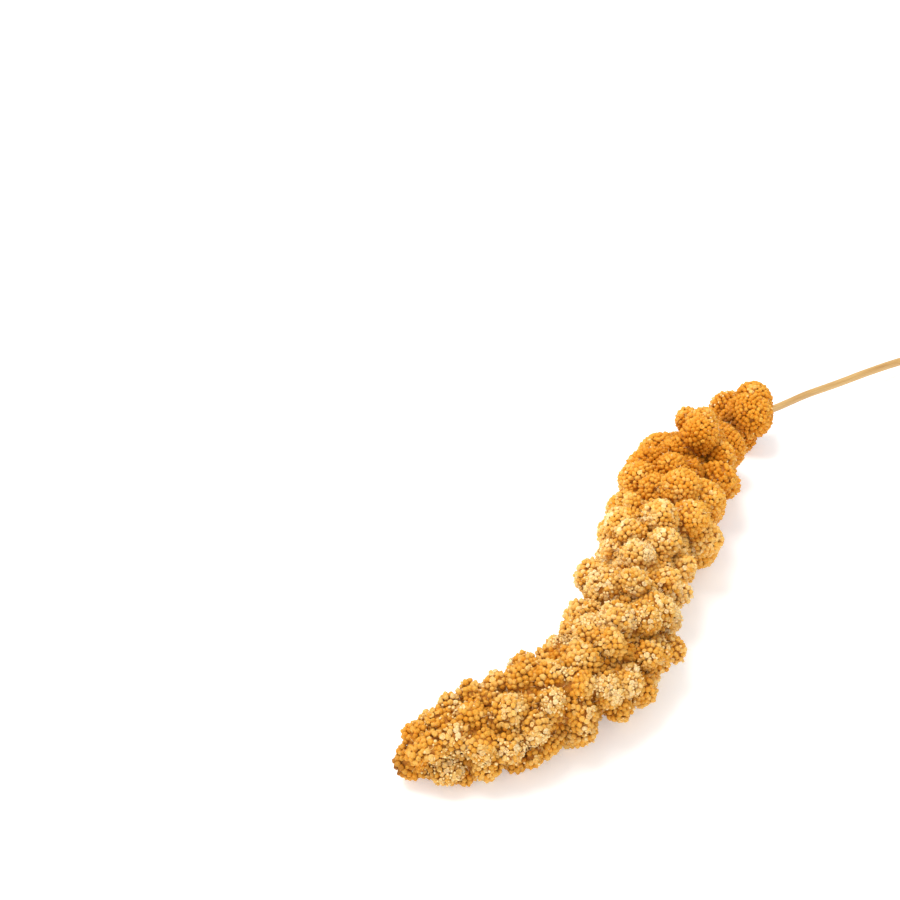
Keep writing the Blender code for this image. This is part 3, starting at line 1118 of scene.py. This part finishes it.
@dataclass
class GrainBody:
    """A body of lobes covered in grain, chaff and bristles, standing for one node.

    Lengths are in metres and angles in radians. A jitter, a gap and the height at which the
    lowest grains rest are over the grains' spacing, and the grain sizes are over half of it.
    """

    node: str
    line: Centreline
    envelope: Table
    core: Table
    lobes: list[Lobe]
    sections: dict[str, tuple[float, float]]
    seed: int
    tone_by_arc: Table
    bleach_by_arc: Table
    cream_patches: list[tuple[float, float, float, float]]
    lobe_length: float = 1.2
    lean: float = math.radians(28)
    tip_lean: float = math.radians(80)
    tip_lean_length: float = 22 * MM
    core_step: float = 4 * MM
    bed_sink: float = 1.0 * MM
    bed_voxel: float = 1.2 * MM
    bed_ripple: float = 2.2 * MM
    bed_ripple_height: float = 0.35 * MM
    bed_rest: float = 0.3 * MM
    # Points on a lobe: how many there are over an even spread, the area of each over its
    # spacing squared, how far each strays, how deep it may lie in another lobe, and how far its
    # normal may point back at the centreline.
    crowding: float = 1.01
    cell_area: float = 0.87
    jitter: float = 0.08
    overlap: float = 0.3 * MM
    least_facing: float = -0.35
    grain_sink: float = 0.5 * MM
    under_sink: float = 1.0 * MM
    grain_rest: float = 0.56
    upper_gap: float = 0.62
    under_gap: float = 0.8
    bump_size: float = 4.6 * MM
    bump_height: float = 0.7 * MM
    loose_height: float = 0.32 * MM
    missing: float = 0.015
    grain_sizes: tuple[float, float] = (0.94, 1.2)
    opened_size: float = 0.88
    outward_aim: float = 0.15
    patch_edge: float = 1.4
    frost_size: float = 7 * MM
    frost_shift: float = 5.0
    frost_gain: float = 1.6
    frost_start: float = 0.1
    least_frost: float = 0.35
    most_bleach: float = 0.9
    tones: ToneShifts = ToneShifts()
    deep: CreviceShadeSizes = CreviceShadeSizes()
    chaff_sizes: ChaffSizes = ChaffSizes()
    bristle_sizes: BristleSizes = BristleSizes()
    forms: list[Ellipsoid] = field(init=False)
    balls: list[Ellipsoid] = field(init=False)

    def __post_init__(self) -> None:
        """Work out the forms of the lobes and of the core between them."""
        self.forms = [self.form(lobe) for lobe in self.lobes]
        first, last = self.core[0][0], self.core[-1][0]
        self.balls = []
        for arc in np.arange(first + self.core_step, last, self.core_step):
            radius = float(read(self.core, arc))
            self.balls.append(Ellipsoid(self.line.point(arc), np.eye(3), np.full(3, radius)))

    def build(self, bed: bpy.types.Material, grains: Scatterer, scales: Scatterer,
              hairs: Scatterer) -> None:
        """Make each piece of the body and dress it.

        Args:
            bed: the finish of the husk bed.
            grains: what puts grains on points.
            scales: what puts chaff on points.
            hairs: what puts bristles on points.
        """
        dress(self.bed(bed), self.node)
        cloud = self.grains()
        for number, (name, (first, last)) in enumerate(self.sections.items()):
            chosen = (cloud.arc >= first) & (cloud.arc < last)
            piece = grains.scatter(f"{self.node}_grains_{name}", cloud.part(chosen), number)
            dress(piece, self.node)
        dress(scales.scatter(f"{self.node}_chaff", self.chaff(), seed=5), self.node)
        dress(hairs.scatter(f"{self.node}_bristles", self.bristles(), seed=6), self.node)

    def form(self, lobe: Lobe) -> Ellipsoid:
        """A lobe's rounded form, leaning towards the tip of the head.

        Args:
            lobe: its place and size.

        Returns:
            The form, with its outer end where the envelope and the lobe's out put it.
        """
        outward = self.line.outward(lobe.arc, lobe.angle)
        along, _, _ = self.line.axes(lobe.arc)
        near_tip = max(0.0, 1 - lobe.arc / self.tip_lean_length)
        lean = self.lean + (self.tip_lean - self.lean) * near_tip
        axis = outward * math.cos(lean) - along * math.sin(lean)
        across = unit(np.cross(axis, along))
        sizes = np.array([1, 1, self.lobe_length]) * lobe.width / 2
        reach = float(read(self.envelope, lobe.arc)) + lobe.out
        tip = self.line.point(lobe.arc) + outward * reach
        return Ellipsoid(tip - axis * sizes[2],
                         np.array([across, np.cross(axis, across), axis]), sizes)

    def bed(self, finish: bpy.types.Material) -> bpy.types.Object:
        """The husk bed: the lobes a little shrunken, joined with the core into one skin.

        Args:
            finish: its material.

        Returns:
            The piece, at the origin.
        """
        work = bmesh.new()
        for form in self.forms + self.balls:
            bmesh.ops.create_icosphere(work, subdivisions=3, radius=1,
                                       matrix=form.matrix(-self.bed_sink))
        source = link(self.node + "_forms", to_mesh(self.node + "_forms", work))
        remesh = source.modifiers.new("skin", "REMESH")
        remesh.mode = "VOXEL"
        remesh.voxel_size = self.bed_voxel
        skin = evaluated_mesh(source)
        bpy.data.objects.remove(source)
        places, normals = (np.empty(len(skin.vertices) * 3) for _ in range(2))
        skin.vertices.foreach_get("co", places)
        skin.vertices.foreach_get("normal", normals)
        places, normals = places.reshape(-1, 3), normals.reshape(-1, 3)
        places += normals * (ripple(places, self.bed_ripple) * self.bed_ripple_height)[:, None]
        keep_above(places, self.bed_rest)
        skin.vertices.foreach_set("co", places.ravel())
        skin.materials.clear()
        skin.materials.append(finish)
        skin.shade_smooth()
        return link(self.node + "_bed", skin)

    def surface_points(self, pitch_factor: float, sunk: float, rng: random.Random) -> Found:
        """Points over the outer sides of the lobes and the core, none inside another form.

        Args:
            pitch_factor: the spacing over the grain spacing.
            sunk: how far the points lie inside their own form.
            rng: the source of random numbers.

        Returns:
            place, normal, lobe, pitch, arc, away and outward, as arrays.
        """
        columns: dict[str, list] = {name: [] for name in ("place", "normal", "lobe", "pitch")}
        forms = self.forms + self.balls
        for number, form in enumerate(forms):
            arc = self.line.nearest(form.centre[None, :])[0][0]
            pitch = float(read(metres(GRAIN_PITCH_MM), arc)) * pitch_factor
            sizes = form.sizes - sunk
            mean = (sizes[0] * sizes[1] * sizes[2]) ** (1 / 3)
            count = int(4 * math.pi * mean ** 2 * self.crowding / (self.cell_area * pitch ** 2))
            points = sphere_points(count, rng.uniform(0, math.tau))
            points = unit(points + round_draws(rng, count) * self.jitter * pitch / mean)
            columns["place"].append(form.centre + (points * sizes) @ form.axes)
            columns["normal"].append(unit((points / sizes) @ form.axes))
            columns["lobe"].append(np.full(count, number))
            columns["pitch"].append(np.full(count, pitch))
        found = {name: np.concatenate(parts) for name, parts in columns.items()}
        outside = np.ones(len(found["place"]), bool)
        for number, form in enumerate(forms):
            others = found["lobe"] != number
            outside &= ~(others & form.inside(found["place"], -sunk - self.overlap))
        found = picked(found, outside)
        arc, away, outward = self.line.nearest(found["place"])
        found.update(arc=arc, away=away, outward=outward)
        return picked(found, (found["normal"] * outward).sum(axis=1) > self.least_facing)

    def patch_strength(self, found: Found) -> np.ndarray:
        """How far each point lies in a cream patch.

        Args:
            found: the points, with their place.

        Returns:
            A value from 0 to 1 for each point.
        """
        strength = np.zeros(len(found["place"]))
        for arc, angle, radius, most in self.cream_patches:
            direction = self.line.outward(arc * MM, math.radians(angle))
            centre = self.line.point(arc * MM) + direction * float(read(self.envelope, arc * MM))
            gap = np.linalg.norm(found["place"] - centre, axis=1)
            near = np.clip(self.patch_edge - gap / (radius * MM), 0, 1)
            strength = np.maximum(strength, most * near)
        return strength

    def frost(self, place: np.ndarray) -> np.ndarray:
        """How much bleached husk is strewn over each place, from 0 to 1."""
        waves = ripple(place, self.frost_size, self.frost_shift)
        return np.clip(waves * self.frost_gain - self.frost_start, 0, 1)

    def bumps(self, place: np.ndarray) -> np.ndarray:
        """How far the lumpy surface stands out at each place."""
        return ripple(place, self.bump_size) * NOISE_GAIN * self.bump_height

    def layers(self, rng: random.Random) -> Found:
        """The grains' places in two layers: the outer one, and one that fills its gaps.

        Args:
            rng: the source of random numbers.

        Returns:
            What surface_points gives, with lift and under, which is 1 in the inner layer.
        """
        upper = self.surface_points(1.0, 0.0, rng)
        under = self.surface_points(1.0, self.under_sink, rng)
        upper["under"] = np.zeros(len(upper["arc"]))
        under["under"] = np.ones(len(under["arc"]))
        found = {name: np.concatenate([upper[name], under[name]]) for name in upper}
        crumbly = read(CRUMBLY_BY_ARC, found["arc"])
        loose = uniform_draws(rng, len(crumbly), -self.loose_height, self.loose_height)
        lift = (self.bumps(found["place"]) + loose) * crumbly
        place = found["place"] + found["normal"] * (lift - self.grain_sink)[:, None]
        keep_above(place, found["pitch"] * self.grain_rest)
        found.update(place=place, lift=lift)
        gap = found["pitch"] * np.where(found["under"] > 0, self.under_gap, self.upper_gap)
        # The outermost grains of the upper layer come first, the under layer after all of them.
        kept = thinned(place, gap, np.argsort(found["under"] * LATER - found["away"]))
        found, crumbly = picked(found, kept), crumbly[kept]
        # A grain has dropped out here and there, and left a dark hole.
        lost = uniform_draws(rng, len(kept)) < self.missing * crumbly ** 2
        return picked(found, ~(lost & (found["under"] == 0)))

    def crevices(self, place: np.ndarray, away: np.ndarray) -> np.ndarray:
        """How deep each grain lies below those round it, which sets its painted shade.

        Args:
            place: the grains' places.
            away: their distances from the centreline.

        Returns:
            A value from 0 to 1 for each grain.
        """
        tree = kd_tree(place)
        reach = self.deep.reach
        around = np.array([np.mean([away[other] for _, other, _ in tree.find_range(point, reach)])
                           for point in place])
        return np.clip((around - away - self.deep.least) / self.deep.most, 0, 1)

    def grains(self) -> GrainCloud:
        """The grains' places, sizes, tones and forms.

        Returns:
            The points.
        """
        rng = random.Random(self.seed)
        found = self.layers(rng)
        place, arc, pitch, away = (found[name] for name in ("place", "arc", "pitch", "away"))
        count = len(arc)
        tones, deep = self.tones, self.deep
        lobe_tone = uniform_draws(rng, len(self.forms) + len(self.balls), -tones.stray,
                                  tones.stray)
        patch = self.patch_strength(found)
        frost = self.frost(place)
        tone = read(self.tone_by_arc, arc) + lobe_tone[found["lobe"]]
        tone += np.array([rng.gauss(0, tones.stray) for _ in range(count)])
        tone += tones.frost * frost + tones.patch * patch
        tone += tones.lift * found["lift"] / self.bump_height
        # Grains sunk between the lobes get painted shade: a deeper tone, and more of the crease
        # brown in depth below.
        flank = np.clip((read(self.envelope, arc) - away) / deep.flank, 0, 1)
        shut = read(SHUT_BY_ARC, arc)
        tone += tones.open_air + tones.flank * shut * flank
        # depth mixes grains towards the crease brown: painted shade for grains in crevices, in
        # the under layer and on the flanks, and an amount set by distance along the head.
        depth = shut * self.crevices(place, away) + deep.under_share * found["under"]
        depth += deep.flank_share * flank + read(DIM_BY_ARC, arc)
        size = pitch / 2 * uniform_draws(rng, count, *self.grain_sizes)
        bleach = read(self.bleach_by_arc, arc) * (self.least_frost + frost) + patch
        kind = np.array([self.form_of(rng.random(), share).value
                         for share in np.clip(bleach, 0, self.most_bleach)], dtype=np.int32)
        opened = (kind == GrainForm.EMPTY.value) | (kind == GrainForm.SPLIT.value)
        tone += tones.lipped * (kind == GrainForm.LIPPED.value) + tones.opened * opened
        size = size * np.where(opened, self.opened_size, 1.0)
        variant = np.array([rng.randrange(GRAIN_VARIANTS) for _ in range(count)],
                           dtype=np.int32)
        aim = unit(found["normal"] + self.outward_aim * found["outward"])
        return GrainCloud(place, aim, size, np.clip(tone, 0, 1),
                          np.clip(depth, 0, deep.most_share),
                          kind + variant * len(GrainForm), arc)

    @staticmethod
    def form_of(draw: float, bleached: float) -> GrainForm:
        """The form of one grain.

        Args:
            draw: a random number from 0 to 1.
            bleached: the share of bleached husks where the grain stands.

        Returns:
            The form.
        """
        for form, always, when_bleached in FORM_SHARES:
            if draw < always + when_bleached * bleached:
                return form
        return GrainForm.PLUMP

    def chaff(self) -> GrainCloud:
        """Where the papery scales stand: some everywhere, most in the cream patches.

        Returns:
            The points.
        """
        rng = random.Random(self.seed + 1)
        scales = self.chaff_sizes
        found = self.surface_points(scales.pitch, 0.0, rng)
        patch = self.patch_strength(found)
        bleached = self.frost(found["place"]) * read(self.bleach_by_arc, found["arc"])
        chance = scales.anywhere + scales.on_frost * bleached + scales.on_patch * patch
        chosen = uniform_draws(rng, len(chance)) < chance
        chosen &= read(self.envelope, found["arc"]) - found["away"] < scales.deepest
        found, patch = picked(found, chosen), patch[chosen]
        count = len(patch)
        lift = self.bumps(found["place"]) + uniform_draws(rng, count, *scales.lifts)
        place = found["place"] + found["normal"] * lift[:, None]
        keep_above(place, scales.rest)
        aim = unit(found["normal"] + scales.splay * unit(round_draws(rng, count)))
        size = uniform_draws(rng, count, *scales.sizes)
        tone = uniform_draws(rng, count) * (scales.tone + patch)
        kind = np.array(rng.choices([form.value for form in ChaffForm], scales.shares, k=count),
                        dtype=np.int32)
        size = size * np.where(kind == ChaffForm.CRUMB.value, scales.crumb_size, 1.0)
        return GrainCloud(place, aim, size, tone, np.zeros(count), kind, found["arc"])

    def bristles(self) -> GrainCloud:
        """Where the hairs stand: a few of the places that grains could take.

        Returns:
            The points.
        """
        rng = random.Random(self.seed + 2)
        hairs = self.bristle_sizes
        found = self.surface_points(1.0, 0.0, rng)
        chance = hairs.share * read(BRISTLY_BY_ARC, found["arc"])
        found = picked(found, uniform_draws(rng, len(chance)) < chance)
        count = len(found["arc"])
        place = found["place"] - found["normal"] * hairs.root
        keep_above(place, hairs.rest)
        aim = unit(found["normal"] + hairs.splay * unit(round_draws(rng, count)))
        rise = np.maximum(aim[:, 2], hairs.low_rise)
        aim[:, 2] = np.where(place[:, 2] < hairs.low, rise, aim[:, 2])
        size = uniform_draws(rng, count, *hairs.lengths)
        tone = uniform_draws(rng, count)
        kind = np.zeros(count, dtype=np.int32)
        return GrainCloud(place, aim, size, tone, np.zeros(count), kind, found["arc"])


def head_lobes(line: Centreline) -> list[Lobe]:
    """The head's lobes: the main ones, then a golden-angle spiral wherever there is room.

    Args:
        line: the head's centreline.

    Returns:
        The lobes.
    """
    rng = random.Random(LOBE_SEED)
    widths = metres(LOBE_WIDTH_MM)
    envelope = metres(ENVELOPE_MM)
    lobes = listed_lobes(MAIN_LOBES)

    def tip(lobe: Lobe) -> np.ndarray:
        """The point that a lobe's outer end touches."""
        reach = float(read(envelope, lobe.arc)) + lobe.out
        return line.point(lobe.arc) + line.outward(lobe.arc, lobe.angle) * reach

    tips = [tip(lobe) for lobe in lobes]
    for index in range(LOBE_TRIES):
        arc = (index + 0.5) / LOBE_TRIES * HEAD_LENGTH
        angle = index * GOLDEN_ANGLE + rng.uniform(-LOBE_STRAY, LOBE_STRAY)
        lobe = Lobe(arc, angle, float(read(widths, arc)) * rng.uniform(*LOBE_WIDTHS))
        here = tip(lobe)
        room = [np.linalg.norm(here - other) / (lobe.width + known.width) * 2
                for other, known in zip(tips, lobes)]
        if min(room) > LOBE_ROOM:
            lobes.append(lobe)
            tips.append(here)
    return lobes


def listed_lobes(rows: list[tuple[float, ...]]) -> list[Lobe]:
    """The lobes of a list in millimetres and degrees."""
    return [Lobe(arc * MM, math.radians(angle), width * MM, out * MM)
            for arc, angle, width, out in rows]


# ---------------------------------------------------------------------------------------------
# The stem
# ---------------------------------------------------------------------------------------------

@dataclass
class Stem:
    """The bare straw, from inside the head's base to the plain cut."""

    line: Centreline
    start: float = 196 * MM
    radius_at_head: float = 1.3 * MM
    radius_at_cut: float = 1.8 * MM
    ridges: int = 11
    ridge_height: float = 0.05 * MM
    swell_height: float = 0.04 * MM
    swell_length: float = 9 * MM
    twist_length: float = 30 * MM
    sides: int = 44
    station_gap: float = 1.6 * MM
    # The pith's rings: their size over the stem's, and how far they lie inside the cut.
    pith_rings: tuple[tuple[float, float], ...] = (
        (0.86, 0.02 * MM), (0.72, 0.25 * MM), (0.35, 0.3 * MM))

    def radius(self, arc: float) -> float:
        """The stem's radius at a distance along the line."""
        part = (arc - self.start) / (self.line.length - self.start)
        return self.radius_at_head + (self.radius_at_cut - self.radius_at_head) * part

    def build(self, finish: bpy.types.Material) -> bpy.types.Object:
        """The ridged, slightly uneven tube, with its pith sunk a little at the cut.

        Args:
            finish: its material.

        Returns:
            The piece, at the origin.
        """
        count = round((self.line.length - self.start) / self.station_gap)
        work = bmesh.new()
        along_map = work.loops.layers.uv.new("along")
        cut = work.verts.layers.float.new("cut")
        rings = []
        for station in range(count + 1):
            arc = self.start + (self.line.length - self.start) * station / count
            rings.append(self.ring(work, arc, 1.0, arc))
        end = self.line.length
        pith = [self.ring(work, end, share, end - sunk) for share, sunk in self.pith_rings]
        for ring in pith:
            for vert in ring:
                vert[cut] = 1.0
        rings += pith
        for number, (lower, upper) in enumerate(zip(rings, rings[1:])):
            for side in range(self.sides):
                after = (side + 1) % self.sides
                face = work.faces.new((lower[side], lower[after], upper[after], upper[side]))
                for loop, (row, column) in zip(face.loops, ((0, 0), (0, 1), (1, 1), (1, 0))):
                    v = (side + column) * math.tau * self.radius_at_cut / self.sides
                    loop[along_map].uv = ((number + row) * self.station_gap, v)
        work.faces.new(rings[0])
        work.faces.new(rings[-1])
        bmesh.ops.recalc_face_normals(work, faces=work.faces)
        mesh = to_mesh("straw_stem", work)
        mesh.materials.append(finish)
        mesh.shade_smooth()
        return link("straw_stem", mesh)

    def ring(self, work: bmesh.types.BMesh, arc: float, share: float,
             where: float) -> list[bmesh.types.BMVert]:
        """One ring of the tube.

        Args:
            work: the mesh being built.
            arc: the distance along the line that gives the ring its size.
            share: the ring's size over the stem's.
            where: the distance along the line at which it lies.

        Returns:
            Its vertices.
        """
        centre = self.line.point(where)
        _, side, up = self.line.axes(min(where, self.line.length - self.line.REACH))
        verts = []
        for index in range(self.sides):
            angle = math.tau * index / self.sides
            swell = noise.noise(Vector((arc / self.swell_length, math.cos(angle),
                                        math.sin(angle))))
            twist = noise.noise(Vector((arc / self.twist_length, 3, 7)))
            ridge = math.cos(angle * self.ridges + twist)
            radius = self.radius(arc) + swell * self.swell_height + ridge * self.ridge_height
            point = centre + (side * math.cos(angle) + up * math.sin(angle)) * radius * share
            verts.append(work.verts.new(point))
        return verts


# ---------------------------------------------------------------------------------------------
# The studio
# ---------------------------------------------------------------------------------------------

@dataclass(frozen=True)
class SoftLight:
    """A square soft light that points at the head's middle: where it stands, its side, its
    power in watts and its colour."""

    name: str
    place: tuple[float, float, float]
    size: float
    power: float
    colour: str

    def build(self) -> None:
        """Put the light in the scene."""
        data = bpy.data.lights.new(self.name, "AREA")
        data.size = self.size
        data.energy = self.power
        data.color = linear(self.colour)[:3]
        light = bpy.data.objects.new(self.name, data)
        light.location = self.place
        light.rotation_euler = (-Vector(self.place)).to_track_quat("-Z", "Y").to_euler()
        bpy.context.scene.collection.objects.link(light)


@dataclass
class Studio:
    """The white floor, the soft lights and the camera of the photograph."""

    camera_place: tuple[float, float, float] = (-0.3924, -0.2513, 0.3424)
    camera_aim: tuple[float, float, float] = (0.6441, 0.5656, -0.5150)
    lens: float = 64.0
    floor_radius: float = 4.0
    sky: str = "#FFFFFF"
    sky_strength: float = 0.7
    lights: tuple[SoftLight, ...] = (
        SoftLight("window", (-0.22, 0.48, 1.3), 0.8, 15.0, "#FFF9F0"),
        SoftLight("bounce", (-0.9, -0.6, 0.7), 1.0, 4.0, "#FFF8EE"))

    def build(self) -> None:
        """Make all of it."""
        self.floor()
        self.world()
        for light in self.lights:
            light.build()
        self.camera()

    def floor(self) -> None:
        """A wide plain disc at the height that the head lies on."""
        work = bmesh.new()
        bmesh.ops.create_circle(work, cap_ends=True, segments=64, radius=self.floor_radius)
        mesh = to_mesh("floor", work)
        mesh.materials.append(BackdropFinish().build())
        link("floor", mesh)

    def world(self) -> None:
        """An even white sky."""
        world = bpy.data.worlds.new("sky")
        world.use_nodes = True
        background = world.node_tree.nodes["Background"]
        background.inputs["Color"].default_value = linear(self.sky)
        background.inputs["Strength"].default_value = self.sky_strength
        bpy.context.scene.world = world
        bpy.context.scene.view_settings.view_transform = "Standard"

    def camera(self) -> None:
        """The camera at the photograph's place and angle."""
        data = bpy.data.cameras.new("camera")
        data.lens = self.lens
        data.sensor_width = 36.0
        data.clip_start = 0.01
        data.clip_end = 20.0
        camera = bpy.data.objects.new("camera", data)
        camera.location = self.camera_place
        camera.rotation_euler = Vector(self.camera_aim).to_track_quat("-Z", "Y").to_euler()
        bpy.context.scene.collection.objects.link(camera)
        bpy.context.scene.camera = camera


# ---------------------------------------------------------------------------------------------
# Everything together
# ---------------------------------------------------------------------------------------------

def grain_shapes() -> list[bpy.types.Mesh]:
    """The grain's forms, about 1 in radius, in the order of GrainForm.

    Returns:
        The meshes: all the forms once, then all of them again, and so on.
    """
    foot = [Ring(0.82, -0.5, 0.15), Ring(0, -0.95, 0)]
    plump = turned("plump", [Ring(0, 1.0, 1), Ring(0.56, 0.83, 0.95), Ring(0.99, 0.2, 0.6),
                             *foot], 7, 0.94)
    pointed = turned("pointed", [Ring(0, 1.16, 1), Ring(0.5, 0.84, 0.9), Ring(0.96, 0.2, 0.6),
                                 *foot], 7, 0.84)
    lipped = turned("lipped", [Ring(0, 0.66, 0.5), Ring(0.48, 0.84, 1, 0.14),
                               Ring(1.0, 0.25, 0.65, 0.06), *foot], 8, 0.92)
    empty = turned("empty", [Ring(0, -0.05, 0.1), Ring(0.42, 0.3, 0.5, 0.1),
                             Ring(0.86, 0.72, 1.15, 0.2), Ring(1.05, 0.1, 0.8),
                             Ring(0, -0.8, 0)], 8, 0.85)
    split = turned("split", [Ring(0, 0.0, 0.25), Ring(0.5, 0.3, 0.7, 0.12),
                             Ring(1.12, 0.66, 1.15, 0.3), Ring(0.95, -0.05, 0.7, 0.1),
                             Ring(0, -0.8, 0)], 9, 0.95, 3)
    return dented([plump, pointed, lipped, empty, split], GRAIN_VARIANTS, DENT_DEPTH,
                  random.Random(DENT_SEED))


def chaff_shapes() -> list[bpy.types.Mesh]:
    """Crumbs and thin bent scales, in the order of ChaffForm.

    Returns:
        The meshes, one a form.
    """
    crumb = turned("crumb", [Ring(0, 0.9, 1), Ring(0.8, 0.35, 0.8, 0.15), Ring(0.9, -0.3, 0.5),
                             Ring(0, -0.8, 0.2)], 5, 0.85, 3)
    short = turned("short", [Ring(0, 1.0, 1), Ring(0.8, 0.35, 0.7), Ring(0.7, -0.4, 0.3),
                             Ring(0, -0.9, 0)], 6, 0.22)
    long = turned("long", [Ring(0, 1.6, 1), Ring(0.55, 0.7, 0.6), Ring(0.5, -0.2, 0.2),
                           Ring(0, -0.9, 0)], 6, 0.25)
    return [crumb, bent(short, 0.35), bent(long, 0.3)]


def bristle_shapes() -> list[bpy.types.Mesh]:
    """A hair of length 1.

    A real one is 0.05 mm thick. It is drawn at about 0.12 mm, the least that can show.

    Returns:
        The mesh, in a list.
    """
    hair = turned("hair", [Ring(0, 1.0, 1), Ring(0.018, 0.55, 0.6), Ring(0.022, 0.05, 0.1),
                           Ring(0, 0, 0)], 3)
    return [bent(hair, 0.22)]


def main() -> None:
    """Build every piece in order and report each."""
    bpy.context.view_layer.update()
    logging.basicConfig(level=logging.INFO, format="%(message)s")
    line = Centreline(metres(ROUTE_MM))
    grain = GrainFinish().build()
    bed = BedFinish().build()
    straw = StrawFinish().build()
    grains = Scatterer("grain", grain_shapes(), grain, tilt=0.22)
    scales = Scatterer("scale", chaff_shapes(), ChaffFinish().build(), tilt=0.5)
    hairs = Scatterer("hair", bristle_shapes(), BristleFinish().build(), tilt=0.3)

    head = GrainBody(
        "seed_head", line, metres(ENVELOPE_MM), metres(CORE_MM), head_lobes(line),
        HEAD_SECTIONS, seed=21, tone_by_arc=TONE_BY_ARC, bleach_by_arc=BLEACH_BY_ARC,
        cream_patches=CREAM_PATCHES)
    basal = GrainBody(
        "basal_cluster", line, [(BASAL_CENTRE, BASAL_RADIUS)],
        [(BASAL_CENTRE - BASAL_CORE_RADIUS, BASAL_CORE_RADIUS),
         (BASAL_CENTRE + BASAL_CORE_RADIUS, BASAL_CORE_RADIUS)],
        listed_lobes(BASAL_LOBES), BASAL_SECTIONS, seed=31, tone_by_arc=[(0.0, 0.23)],
        bleach_by_arc=[(0.0, 0.05)], cream_patches=BASAL_PATCHES)
    for body in (head, basal):
        body.build(bed, grains, scales, hairs)
    dress(Stem(line).build(straw), "stem")
    for family in (grains, scales, hairs):
        family.clear()
    Studio().build()


if __name__ == "__main__":
    main()
